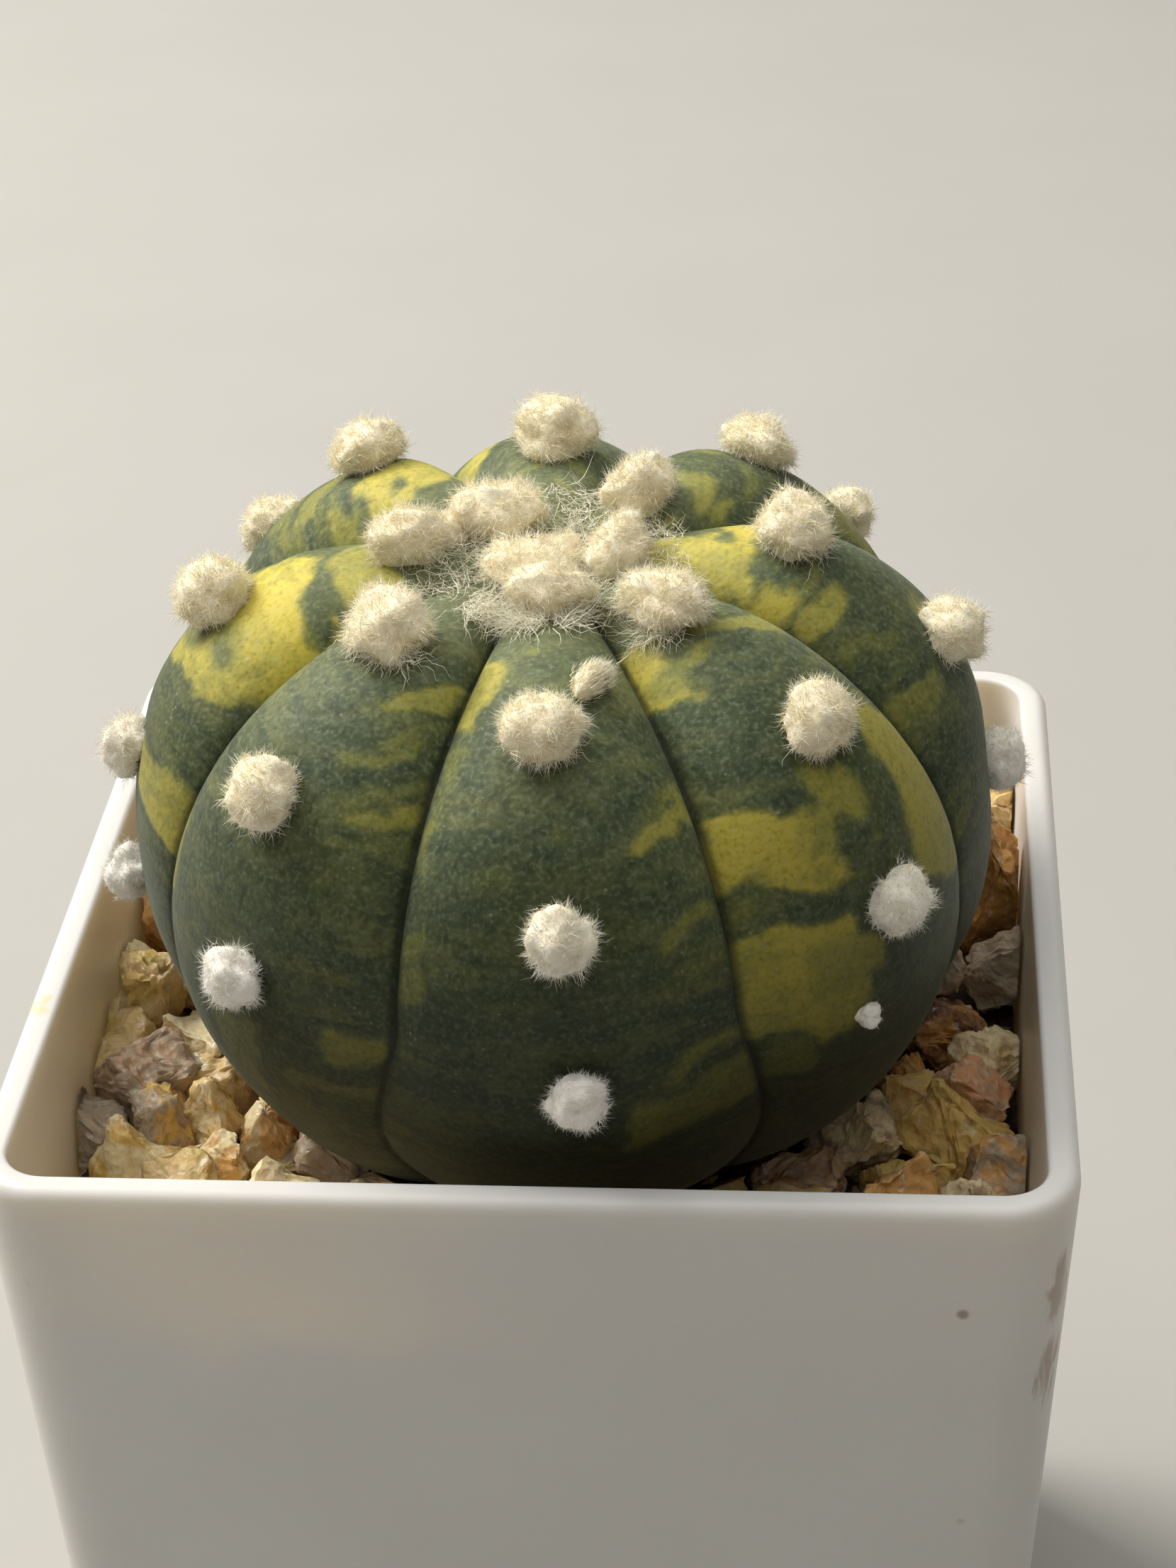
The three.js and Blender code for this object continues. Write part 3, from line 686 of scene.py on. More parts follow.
# %% Markings that the photo shows
MARKINGS = [
    # Front rib: a band beside its left groove, faint spots, and slanting streaks on the right
    (0, 15.8, -0.84, 3.1, 0.2, 0, 0.85),
    (0, 12.6, -0.2, 0.5, 0.1, 0, 0.5),
    (0, 21.6, -0.82, 1.5, 0.1, 0, 0.35),
    (0, 26.0, -0.9, 0.9, 0.07, 0, 0.55),
    (0, 25.8, 0.05, 0.5, 0.05, 0, 0.3),
    (0, 28.6, -0.35, 0.7, 0.12, 0, 0.25),
    (0, 32.3, -0.9, 0.8, 0.1, 0, 0.4),
    (0, 35.0, -0.9, 1.1, 0.1, 0, 0.42),
    (0, 24.2, 0.75, 0.35, 0.2, -3, 0.3),
    (0, 25.7, 0.72, 0.75, 0.24, -5.5, 0.7),
    (0, 32.2, 0.78, 0.55, 0.22, -6, 0.5),
    (0, 34.5, 0.82, 0.45, 0.18, -6, 0.32),
    (0, 41.6, 0.74, 0.6, 0.28, -5.5, 0.55),
    (0, 45.9, 0.68, 2.0, 0.42, -3, 0.6),
    (0, 49.0, -0.9, 0.8, 0.1, 0, 0.3),
    # Front right rib: squiggles round a green island, then large blocks and a broad strip
    (1, 15.6, -0.82, 2.7, 0.22, 0, 0.9),
    (1, 13.3, -0.5, 0.5, 0.32, 1, 0.65),
    (1, 15.2, 0.25, 0.85, 0.5, 3.8, 0.6),
    (1, 16.3, -0.5, 0.45, 0.32, -1.6, 0.6),
    (1, 14.8, -0.57, 0.45, 0.13, 0, 0),
    (1, 24.6, 0.66, 1.2, 0.1, 0, 0.5),
    (1, 29.6, -0.6, 2.5, 0.45, 4.5, 0.88),
    (1, 28.6, -0.1, 2.7, 0.2, 3, 0.75),
    (1, 31.6, 0.7, 6.0, 0.38, 4, 0.8),
    (1, 32.0, -0.12, 1.9, 0.13, 2, 0),
    (1, 28.4, 0.17, 2.6, 0.06, 0, 0.1),
    (1, 31.7, -0.92, 0.7, 0.07, 0, 0.4),
    (1, 38.9, -0.62, 4.4, 0.44, 3.6, 0.85),
    (1, 38.9, -0.28, 1.3, 0.26, 1, 0.7),
    (1, 44.8, -0.8, 1.4, 0.16, 0, 0.4),
    # Right rib: bright yellow by the crown, then streaks that slant down to the left
    (2, 9.3, -0.4, 4.2, 0.75, 0, 1),
    (2, 11.6, 0.22, 0.8, 0.16, 0, 0),
    (2, 14.2, -0.45, 0.7, 0.2, 0, 0),
    (2, 13.7, -0.86, 1.2, 0.15, 0, 0.9),
    (2, 16.6, -0.78, 1.6, 0.2, 0, 0.88),
    (2, 17.6, -0.4, 0.5, 0.14, -3, 0.4),
    (2, 19.4, -0.68, 0.65, 0.3, 1, 0.72),
    (2, 23.0, -0.72, 0.55, 0.26, 4, 0.4),
    (2, 24.6, -0.66, 0.3, 0.2, 4, 0.25),
    (2, 27.9, -0.75, 0.75, 0.26, 4.4, 0.5),
    (2, 26.8, 0.02, 1.6, 0.14, 0, 0.5),
    (2, 36, -0.9, 0.9, 0.12, 0, 0.4),
    # Back right rib
    (3, 9.8, -0.9, 1.0, 0.12, 0, 0.7),
    (3, 12.6, -0.48, 1.2, 0.26, 0, 0.7),
    (3, 14.4, -0.8, 0.8, 0.14, 0, 0.6),
    (3, 11.8, -0.12, 0.7, 0.2, 0, 0.6),
    (3, 16.4, -0.5, 0.5, 0.26, 0, 0.42),
    (3, 16.6, 0.2, 0.9, 0.2, 0, 0.5),
    (3, 18.4, -0.4, 0.35, 0.2, 0, 0.3),
    (3, 25.8, -0.5, 2.2, 0.35, 0, 0.62),
    # Back rib
    (4, 9.2, -0.35, 0.6, 0.3, 2, 0.5),
    (4, 11.6, 0.35, 0.5, 0.3, -2, 0.5),
    (4, 12.4, -0.5, 0.6, 0.2, 0, 0.4),
    (4, 8.2, 0.55, 0.5, 0.25, 0, 0.45),
    # Back left rib
    (5, 13.0, 0.1, 2.4, 0.8, 0, 0.92),
    (5, 12.6, 0.28, 0.75, 0.14, 0, 0),
    (5, 14.6, 0.72, 0.5, 0.2, 0, 0),
    (5, 17.0, 0.4, 0.2, 0.45, 0, 0.25),
    (5, 18.2, 0.4, 0.2, 0.45, 0, 0.25),
    (5, 16.4, 0.8, 1.4, 0.22, 0, 0.65),
    (5, 19.0, 0.2, 1.0, 0.5, 2, 0.6),
    (5, 22.6, 0.1, 0.9, 0.5, 2, 0.55),
    (5, 20.3, 0.55, 0.6, 0.3, 0, 0.55),
    (5, 22.0, 0.55, 0.5, 0.3, 0, 0.5),
    # Left rib: the largest yellow area, with two green blotches, and a second patch lower down
    (6, 12.5, 0.25, 2.0, 0.55, 0, 0.8),
    (6, 19.4, 0.36, 3.8, 0.76, 0, 1),
    (6, 23.9, 0.3, 2.9, 0.55, -3.5, 0.85),
    (6, 15.2, 0.18, 1.0, 0.2, 0, 0),
    (6, 16.7, 0.78, 0.9, 0.2, 0, 0),
    (6, 16.0, 0.5, 0.4, 0.2, 3, 0.1),
    (6, 22.9, 0.4, 0.35, 0.1, 0, 0.3),
    (6, 24.4, -0.05, 0.7, 0.2, 0, 0.4),
    (6, 28.3, 0.55, 0.2, 0.35, -3, 0.25),
    (6, 29.5, 0.55, 0.2, 0.35, -3, 0.28),
    (6, 33.4, 0.6, 1.9, 0.45, -2, 0.85),
    # Front left rib: a patch by the right groove, a ladder of thin bars, and olive edges
    (7, 17.3, 0.72, 1.1, 0.28, -1.5, 0.75),
    (7, 15.6, -0.08, 0.7, 0.06, 0, 0.3),
    (7, 20.2, 0.74, 0.4, 0.22, -4.5, 0.42),
    (7, 21.8, 0.66, 0.5, 0.32, -4.5, 0.5),
    (7, 23.8, 0.74, 0.36, 0.25, -4.5, 0.42),
    (7, 25.4, 0.77, 0.62, 0.25, -5, 0.68),
    (7, 27.7, 0.68, 0.36, 0.2, -4.5, 0.42),
    (7, 30.0, 0.6, 0.4, 0.15, -4, 0.32),
    (7, 31.2, 0.62, 0.3, 0.08, -4, 0.22),
    (7, 30.2, 0.13, 0.35, 0.06, 0, 0.3),
    (7, 34.0, -0.92, 3.2, 0.08, 0, 0.65),
    (7, 46.0, -0.05, 3.4, 0.2, 0, 0.42),
    (7, 41.8, 0.77, 1.2, 0.24, -2, 0.62),
    (7, 46.2, 0.72, 0.8, 0.34, -1, 0.42),
]

# %% [markdown]
# The photo doesn't show the back. There the markings are drawn at random in the same style: now and
# then a block, more often a slanting bar, all lying across the rib.

# %% Markings where the photo doesn't reach
# Rib, first and last distance along in mm, lowest and highest place across
HIDDEN_STRETCHES = [
    (2, 12, 46, 0.25, 1),
    (3, 29, 47, -1, 1),
    (3, 20, 46, 0.1, 1),
    (4, 17, 47, -1, 1),
    (5, 24, 47, -1, 1),
    (6, 12, 46, -1, -0.25),
]
HIDDEN_SEED = 11
BLOCK_SHARE = 0.3
# Half lengths along and across, slants, depths and the gaps between markings, in the rows' measures
BLOCK_HALF_LENGTHS = (1.3, 2.8)
BAR_HALF_LENGTHS = (0.3, 0.8)
HIDDEN_HALF_WIDTHS = (0.25, 0.45)
HIDDEN_SLANTS = (3, 5.5)
BLOCK_YELLOWS = (0.7, 0.95)
BAR_YELLOWS = (0.25, 0.7)
HIDDEN_GAPS = (0.8, 3)


def hidden_markings():
    draw = seeded_random(HIDDEN_SEED)
    found = []
    for rib, first, last, low, high in HIDDEN_STRETCHES:
        along = first
        while along < last:
            block = draw() < BLOCK_SHARE
            half_along = between(BLOCK_HALF_LENGTHS if block else BAR_HALF_LENGTHS, draw)
            half_across = between(HIDDEN_HALF_WIDTHS, draw)
            across = between((low + half_across / 2, high - half_across / 2), draw)
            slant = between(HIDDEN_SLANTS, draw) * (1 if across < 0 else -1)
            depth = between(BLOCK_YELLOWS if block else BAR_YELLOWS, draw)
            found.append((rib, along + half_along, across, half_along, half_across, slant, depth))
            along += 2 * half_along + between(HIDDEN_GAPS, draw)
    return found


# %% [markdown]
# A marking's cover falls from 1 to 0 across its blurred edge. Before it is asked for, the point is moved
# by two noises, a broad one and a fine one, so that no edge stays straight.

# %% Cover of the markings
EDGE_BLUR = 1.3 * MM
CORNER_BLUR = 0.6 * MM
WARP_DEPTH = 1.0 * MM
WARP_SCALE = 270
RIPPLE_DEPTH = 0.5 * MM
RIPPLE_SCALE = 750


def marking_cover(marking, along, across, half_rib):
    """1 inside a marking, 0 outside it and one half on its edge."""
    _, middle_along, middle_across, half_along, half_across, slant, _ = marking
    aside = across - middle_across
    x = abs(aside) * half_rib - half_across * half_rib + CORNER_BLUR
    y = abs(along - (middle_along + slant * aside) * MM) - half_along * MM + CORNER_BLUR
    outside = math.hypot(max(x, 0), max(y, 0)) + min(max(x, y), 0) - CORNER_BLUR
    return min(max(0.5 - outside / (2 * EDGE_BLUR), 0), 1)


rib_markings = [[] for _ in range(RIBS)]
for marking in hidden_markings() + MARKINGS:
    rib_markings[marking[0]].append(marking)


def yellow_at(rib, along, across, half_rib, point):
    """How far inside the markings a point is, and how yellow they are there."""
    warp = noise.noise_vector(point * WARP_SCALE) * WARP_DEPTH
    warp += noise.noise_vector(point * RIPPLE_SCALE) * RIPPLE_DEPTH
    along += warp.x
    across += warp.y / half_rib
    edge = 0
    depth = 0
    for marking in rib_markings[rib]:
        cover = marking_cover(marking, along, across, half_rib)
        if cover > 0:
            strength = marking[-1]
            if strength > 0:
                edge = max(edge, cover)
                depth = lerp(depth, strength, smooth(cover * 2))
            else:
                edge = min(edge, 1 - cover)
    return edge, depth


print(len(MARKINGS), "markings by hand and", len(hidden_markings()), "drawn at random")

# %% [markdown]
# ## The skin
# The skin starts as a sphere of rings and turns. Each of its points is moved to the formula's place, with
# the turns drawn closer together at the grooves, where the skin folds sharply. Below, the last rings
# follow the taproot, so body and root stay one closed surface. Real ribs aren't perfect, so a slow noise
# swells them by up to a quarter of a millimetre, some grooves swerve at the foot, the grooves' flanks are
# finely puckered, and every tuft in a ridge's row sits in a shallow notch.

# %% Skin
SKIN_STEPS_PER_RIB = 40
SKIN_RINGS = 272
GROOVE_CROWDING = 0.6
# Height and radius of the taproot in mm, from its neck down to its blunt tip
ROOT_OUTLINE = [(60, 7.5), (46, 4), (30, 1.2)]
# The root's side is done a little before the last ring, and the rings left over close the tip
ROOT_PACE = 1.15
ROOT_RIPPLE = 0.12
ROOT_RIPPLE_LENGTH = 4 * MM
RIB_SNAP = 1e-4
WANDER = 0.25 * MM
WANDER_SCALE = 90
LIFT_FLANK = 1.6
NOTCH_DEPTH = 0.35 * MM
NOTCH_REACH = 3.4 * MM
PUCKER_DEPTH = 0.05 * MM
PUCKER_LENGTH = 1.6 * MM
PUCKER_START = 0.75
# Far enough apart in the noise that no two ribs are alike
RIB_SHIFT = 7.3
POLE_FADE = 8
# How far the grooves before each rib swerve at the foot, in radians: the front rib widens there
GROOVE_SWERVES = [-0.1, 0.085, 0.02, 0, 0, 0, 0, -0.02]
SWERVE_START = 38 * MM
SWERVE_LENGTH = 15 * MM


def neck_psi():
    """Where the body's underside has narrowed to the taproot."""
    neck = ROOT_OUTLINE[0][1] * MM
    psi = math.pi
    while superellipse(psi, BODY_RADIUS, CROWN_HEIGHT, FOOT_DEPTH, CROWN_POWER)[0] < neck:
        psi -= WALK_STEP
    return psi


NECK_PSI = neck_psi()
NECK_HEIGHT = superellipse(NECK_PSI, BODY_RADIUS, CROWN_HEIGHT, FOOT_DEPTH, CROWN_POWER)[1]


def root_point(psi, turn):
    """A point of the taproot, which starts where the body's underside ends."""
    share = (psi - NECK_PSI) / (math.pi - NECK_PSI)
    tip_height, tip_radius = ROOT_OUTLINE[-1]
    z = lerp(BODY_CENTRE.z + NECK_HEIGHT, tip_height * MM, min(share * ROOT_PACE, 1))
    radius = 0
    for (high, upper), (low, lower) in zip(ROOT_OUTLINE, ROOT_OUTLINE[1:]):
        if low * MM <= z <= high * MM:
            radius = lerp(lower, upper, (z / MM - low) / (high - low)) * MM
    if share * ROOT_PACE > 1:
        radius = tip_radius * MM * (1 - share) / (1 - 1 / ROOT_PACE)
    ripple_place = Vector((math.cos(turn), math.sin(turn), z / ROOT_RIPPLE_LENGTH))
    radius *= 1 + ROOT_RIPPLE * noise.noise(ripple_place)
    middle = leaning(0, 0, NECK_HEIGHT)
    x = lerp(middle.x, BODY_CENTRE.x, share) + radius * math.cos(turn)
    y = lerp(middle.y, BODY_CENTRE.y, share) + radius * math.sin(turn)
    return Vector((x, y, z))


def rib_place(angle):
    """Which rib an angle round the axis lies on, and how far across it."""
    turns = (angle / (2 * math.pi)) % 1 * RIBS
    if abs(turns - round(turns)) < RIB_SNAP:
        turns = round(turns) % RIBS
    rib = int(turns)
    even = 2 * (turns - rib) - 1
    crowded = math.sin(even * math.pi / 2)
    return rib, lerp(even, crowded, GROOVE_CROWDING)


def groove_twist(rib, along, across):
    """How far round the axis a point is carried by the grooves beside it."""
    before = GROOVE_SWERVES[rib]
    after = GROOVE_SWERVES[(rib + 1) % RIBS]
    return lerp(before, after, (across + 1) / 2) * smooth((along - SWERVE_START) / SWERVE_LENGTH)


def skin_detail(point, rib, along, across):
    """How far the real skin stands out from the formula."""
    swell = WANDER * noise.noise(point * WANDER_SCALE)
    middle = 1 - abs(across)
    swell += rib_lift(rib, along) * smooth(middle * LIFT_FLANK)
    half_rib = BODY_RADIUS * math.pi / RIBS
    for tuft_along in RIB_TUFTS[rib]:
        distance = math.hypot(along - tuft_along * MM, across * half_rib) / NOTCH_REACH
        if distance < 2:
            swell -= NOTCH_DEPTH * math.exp(-2 * distance ** 2)
    pucker = noise.noise(Vector((along / PUCKER_LENGTH, rib * RIB_SHIFT, abs(across))))
    return swell + PUCKER_DEPTH * pucker * smooth((abs(across) - PUCKER_START) / (1 - PUCKER_START))


def make_skin(material):
    bm = bmesh.new()
    along_layer = bm.verts.layers.float.new("along")
    across_layer = bm.verts.layers.float.new("across")
    edge_layer = bm.verts.layers.float.new("yellow_edge")
    depth_layer = bm.verts.layers.float.new("yellow_depth")
    bmesh.ops.create_uvsphere(bm, u_segments=RIBS * SKIN_STEPS_PER_RIB, v_segments=SKIN_RINGS, radius=1)
    for vert in bm.verts:
        psi = math.acos(min(max(vert.co.z, -1), 1))
        rib, across = rib_place(math.atan2(vert.co.y, vert.co.x))
        along = along_at(psi)
        ring_radius = math.hypot(vert.co.x, vert.co.y)
        if psi > NECK_PSI:
            vert.co = root_point(psi, rib_turn(rib, across) + groove_twist(rib, along, across))
        else:
            point = skin_point(psi, rib, across, twist=groove_twist(rib, along, across))
            out = (point - BODY_CENTRE).normalized()
            fade = smooth(ring_radius * POLE_FADE) * smooth((NECK_PSI - psi) * POLE_FADE)
            vert.co = point + out * skin_detail(point, rib, along, across) * fade
        half_rib = max(BODY_RADIUS * ring_radius, MM) * math.pi / RIBS
        edge, depth = yellow_at(rib, along, across, half_rib, vert.co)
        vert[along_layer] = along / MM
        vert[across_layer] = abs(across)
        vert[edge_layer] = edge
        vert[depth_layer] = depth
    bmesh.ops.recalc_face_normals(bm, faces=bm.faces)
    skin = finish_piece(bm, "cactus_skin", material)
    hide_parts("cactus_body")


# %% [markdown]
# The skin is matt, with a pale bloom that greys it where it is seen aslant, which a little sheen gives.
# The green is mottled from broad patches down to fine grain, and faint bars of paler green lie across the
# ribs' flanks. The yellow edge is frayed by a noise drawn out across the rib, the way the real cells grow
# in rows, and olive lies between green and yellow. Minute pale flecks and pores cover everything. The
# grooves carry painted shade, dark as the shadow in a fold. Near the crown the skin is paler, partly its
# young bloom and partly painted light from above, and further down it is darkened, partly with age and
# partly as painted shade. The lowest part, in the gravel, has brown corky skin.

# %% Skin finish
# The scales of the row noises, level and along the ribs, and how far a row slants down a flank in mm
ROW_SCALES = (230, 0.7)
WIDE_ROW_SCALES = (105, 0.42)
ROW_SLANT = 2.5
REGION_SCALE = 95
BLOTCH_SCALE = 230
MOTTLE_SCALE = 1000
GRAIN_SCALE = 3000
FLECK_SCALE = 1300
FLECK_PATCH_SCALE = 420
PORE_SCALE = 2400
PORE_DEPTH = 0.015 * MM
WRINKLE_DEPTH = 0.05 * MM
DIMPLE_SCALE = 420
DIMPLE_DEPTH = 0.08 * MM
# Where the corky skin starts and is whole, in mm along the ridge
CORK_START = 63
CORK_WHOLE = 68


def skin_material():
    finish = Finish("frosted_skin", Roughness=0.62, Specular_IOR_Level=0.28, Sheen_Weight=0.16,
                    Sheen_Roughness=0.45, Sheen_Tint=tone(214, 222, 205))
    along = finish.attribute("along")
    across = finish.attribute("across")
    flat = finish.add("SeparateXYZ", {0: finish.place}, "X")
    deep = finish.add("SeparateXYZ", {0: finish.place}, "Y")
    slanting = finish.maths("ADD", along, finish.maths("MULTIPLY", across, ROW_SLANT))

    def rows_of(level_scale, along_scale):
        """Coordinates in which a noise is drawn out across the rib."""
        return finish.add("CombineXYZ", {
            "X": finish.maths("MULTIPLY", flat, level_scale),
            "Y": finish.maths("MULTIPLY", deep, level_scale),
            "Z": finish.maths("MULTIPLY", slanting, along_scale),
        })

    rows = rows_of(*ROW_SCALES)
    bars = finish.noise(1.0, 4, rows_of(*WIDE_ROW_SCALES), 0.5)
    row_noise = finish.noise(1.0, 4, rows, 0.6)
    thin_rows = finish.noise(2.1, 3, rows, 0.5)
    region = finish.noise(REGION_SCALE, 2)
    blotches = finish.noise(BLOTCH_SCALE, 4)
    mottles = finish.noise(MOTTLE_SCALE, 4, None, 0.6)
    grain = finish.noise(GRAIN_SCALE, 3)

    green = finish.ramp(region, (0.3, tone(60, 71, 44)), (0.7, tone(88, 99, 66)))
    green = finish.mix(finish.step(blotches, 0.4, 0.65), green, tone(83, 93, 63))
    green = finish.mix(finish.band(row_noise, 0.5, 0.32, 0.25), green, tone(46, 60, 38))
    pale_rows = finish.band(thin_rows, 0.5, 0.7, 0.3)
    pale_rows = finish.maths("MULTIPLY", pale_rows, finish.step(region, 0.42, 0.6))
    green = finish.mix(pale_rows, green, tone(126, 130, 74))
    faint_bars = finish.maths("ADD", bars, finish.swing(row_noise, 0.3))
    flank = finish.step(across, 0.1, 0.7)
    flank_share = finish.maths("ADD", 0.45, finish.maths("MULTIPLY", flank, 0.55))
    flank_bars = finish.maths("MULTIPLY", finish.band(faint_bars, 0.47, 0.62, 0.8), flank_share)
    green = finish.mix(flank_bars, green, tone(114, 118, 66))
    green = finish.mix(finish.band(faint_bars, 0.46, 0.28, 0.4), green, tone(48, 62, 40))
    green = finish.mix(finish.band(mottles, 0.5, 0.34, 0.5), green, tone(42, 56, 35))
    green = finish.mix(finish.band(mottles, 0.54, 0.7, 0.32), green, tone(120, 130, 96))

    frayed = finish.maths("ADD", finish.attribute("yellow_edge"), finish.swing(row_noise, 0.38))
    frayed = finish.maths("ADD", frayed, finish.swing(blotches, 0.25))
    frayed = finish.maths("ADD", frayed, finish.swing(mottles, 0.16))
    inside = finish.step(frayed, 0.14, 0.66)
    mottled = finish.maths("ADD", 0.9, finish.swing(thin_rows, 0.4))
    mottled = finish.maths("ADD", mottled, finish.swing(mottles, 0.5))
    mottled = finish.maths("ADD", mottled, finish.swing(region, 0.9), clamp=True)
    strength = finish.maths("MULTIPLY", finish.attribute("yellow_depth"), mottled)
    depth = finish.maths("MULTIPLY", inside, strength)
    yellow = finish.ramp(depth, (0, tone(70, 82, 50)), (0.22, tone(93, 101, 54)), (0.45, tone(124, 126, 60)),
                         (0.7, tone(164, 157, 68)), (0.95, tone(212, 194, 74)))
    base = finish.mix(inside, green, yellow)

    fleck_shape = finish.step(finish.cells(FLECK_SCALE), 0.2, 0.08)
    fleck_here = finish.step(finish.noise(FLECK_PATCH_SCALE, 3), 0.56, 0.64)
    flecks = finish.maths("MULTIPLY", fleck_shape, fleck_here)
    base = finish.tint(base, flecks, 0.35, tone(198, 204, 184))
    base = finish.mix(finish.band(grain, 0.48, 0.72, 0.2), base, tone(180, 188, 158))
    base = finish.mix(finish.band(grain, 0.5, 0.28, 0.28), base, tone(34, 42, 24))
    # Partly painted light from above, partly the young skin's bloom: paler towards the crown
    base = finish.mix(finish.band(along, 20, 6, 0.28), base, tone(150, 154, 112))
    # Painted shade: the grooves are darkened towards near black, as the shadow in a fold would be
    base = finish.mix(finish.band(across, 0.94, 1, 0.75), base, tone(24, 32, 16))
    # Painted shade, partly the older skin's darker tone: from 14 mm down the ridge towards the root, green
    # and yellow are darkened more and more
    painted_low_shade = finish.mix(inside, tone(100, 108, 70), tone(134, 134, 104))
    base = finish.mix(finish.band(along, 14, 50, 0.9), base, painted_low_shade, "MULTIPLY")
    uneven_along = finish.maths("ADD", along, finish.maths("MULTIPLY", blotches, 6))
    base = finish.mix(finish.step(uneven_along, CORK_START, CORK_WHOLE), base, tone(120, 96, 66))
    finish.colour(base)
    finish.roughness(blotches, 0.55, 0.72)
    pores = finish.bump(finish.cells(PORE_SCALE), PORE_DEPTH)
    wrinkles = finish.bump(mottles, WRINKLE_DEPTH, under=pores)
    finish.bump(finish.noise(DIMPLE_SCALE, 4), DIMPLE_DEPTH, under=wrinkles)
    return finish.material


make_skin(skin_material())

# %% [markdown]
# ## Hairs
# Wool is thousands of hairs, so a hair must be cheap: a three-sided cone, plain where it is short, and
# with a few cuts where it is long enough to bend or curl. It is one unit long, and a copy is scaled and
# turned into place. The hair keeps its own height in an attribute, from root to tip, and a tone, so that
# the finish can make roots tan, tips white, and no two neighbours quite alike. The tan of the roots is
# partly the wool's own tint and partly painted shade deep in the lock.

# %% Hair shapes
BEND_DROP = 0.35


def wool_bmesh():
    bm = bmesh.new()
    bm.verts.layers.float.new("tip")
    bm.verts.layers.float.new("shade")
    return bm


def make_hair(name, thickness, root_tip, shade, cuts=0, bend=0.0, curl=0.0, turns=0.0):
    """A hair one unit long from its root at the origin: bent to one side, and curled."""
    bm = wool_bmesh()
    tip_layer = bm.verts.layers.float["tip"]
    shade_layer = bm.verts.layers.float["shade"]
    bmesh.ops.create_cone(bm, cap_ends=True, segments=3, radius1=thickness, radius2=0, depth=1)
    bmesh.ops.translate(bm, verts=bm.verts, vec=(0, 0, 0.5))
    for cut in range(1, cuts + 1):
        bmesh.ops.bisect_plane(bm, geom=bm.verts[:] + bm.edges[:] + bm.faces[:], dist=thickness / 100,
                               plane_co=(0, 0, cut / (cuts + 1)), plane_no=(0, 0, 1))
    for vert in bm.verts:
        height = vert.co.z
        if height < 1:
            fullness = (1 - height ** 3) / (1 - height)
            vert.co.x *= fullness
            vert.co.y *= fullness
        winding = height * turns * 2 * math.pi
        vert.co.x += bend * height ** 2 + curl * (1 - math.cos(winding)) / 2
        vert.co.y += curl * math.sin(winding)
        vert.co.z -= abs(bend) * BEND_DROP * height ** 2
        # Painted shade, partly the wool's own tint: the root's low tip value makes it tan in the finish
        vert[tip_layer] = lerp(root_tip, 1, min(height, 1))
        vert[shade_layer] = shade
    return as_mesh(bm, name)


# Tones from tan to white, then for each kind its thickness and how pale its root is
SHADES = (0.1, 0.5, 0.9)
SHORT = (0.024, 0.45)
LONG = (0.009, 0.8)
BRISTLE = (0.03, 0.5)
LONG_CUTS = 4
# Bend, curl and turns
LONG_CURLS = ((0.5, 0.06, 1.3), (0.9, 0.05, 2), (0.3, 0.09, 1.6), (0.7, 0.1, 0.8))
BRISTLE_CUTS = 2
BRISTLE_BEND = 0.12
SHORT_HAIRS = [make_hair("short_hair", *SHORT, shade) for shade in SHADES]
LONG_HAIRS = [make_hair("long_hair", *LONG, shade, LONG_CUTS, *form)
              for shade in SHADES for form in LONG_CURLS]
BRISTLES = [make_hair("bristle", *BRISTLE, SHADES[-1], BRISTLE_CUTS, BRISTLE_BEND)]
print("a short hair has", len(SHORT_HAIRS[0].polygons), "faces, a long one", len(LONG_HAIRS[0].polygons))


def add_copy(bm, mesh, matrix):
    """Adds a copy of a mesh, moved by a matrix."""
    copy = mesh.copy()
    copy.transform(matrix)
    bm.from_mesh(copy)
    bpy.data.meshes.remove(copy)


def plant_hair(bm, shapes, root, heading, length, draw):
    """One hair of the given length, pointing along heading, turned at random about itself."""
    shape = shapes[int(draw() * len(shapes))]
    spin = Matrix.Rotation(2 * math.pi * draw(), 4, "Z")
    aim = heading.to_track_quat("Z", "Y").to_matrix().to_4x4()
    add_copy(bm, shape, Matrix.Translation(root) @ aim @ spin @ Matrix.Scale(length, 4))


# %% [markdown]
# Wool never shows one hair at a time, so the hairs come in locks. A lock is a bundle of hairs that leave
# the same spot and spread. A few locks of each shade are enough, because each copy is turned its own way.
# A closed brush has its own locks, all white, whose hairs stay together.

# %% Locks
HAIRS_PER_LOCK = 17
LOCKS_PER_SHADE = 3
LOCK_WIDTH = 0.8
LOCK_LENGTHS = (0.55, 1.15)
LOCK_SPREAD = 1.9
LOCK_SEED = 300
# Between the first seeds of two shades
SEED_STEP = 10
BRUSH_SPREAD = 0.5
BRUSH_SEED = 400


def make_lock(seed, shade_number, spread):
    draw = seeded_random(seed)
    bm = wool_bmesh()
    for _ in range(HAIRS_PER_LOCK):
        root = Vector((draw() - 0.5, draw() - 0.5, 0)) * LOCK_WIDTH
        heading = Vector(((draw() - 0.5) * spread, (draw() - 0.5) * spread, 1))
        plant_hair(bm, [SHORT_HAIRS[shade_number]], root, heading, between(LOCK_LENGTHS, draw), draw)
    return as_mesh(bm, "lock")


def shade_locks(seed, shade_number, spread):
    return [make_lock(seed + number, shade_number, spread) for number in range(LOCKS_PER_SHADE)]


LOCKS = [shade_locks(LOCK_SEED + SEED_STEP * number, number, LOCK_SPREAD)
         for number in range(len(SHADES))]
BRUSH_LOCKS = [shade_locks(BRUSH_SEED, len(SHADES) - 1, BRUSH_SPREAD)] * len(SHADES)
print("a lock has", len(LOCKS[0][0].polygons), "faces")

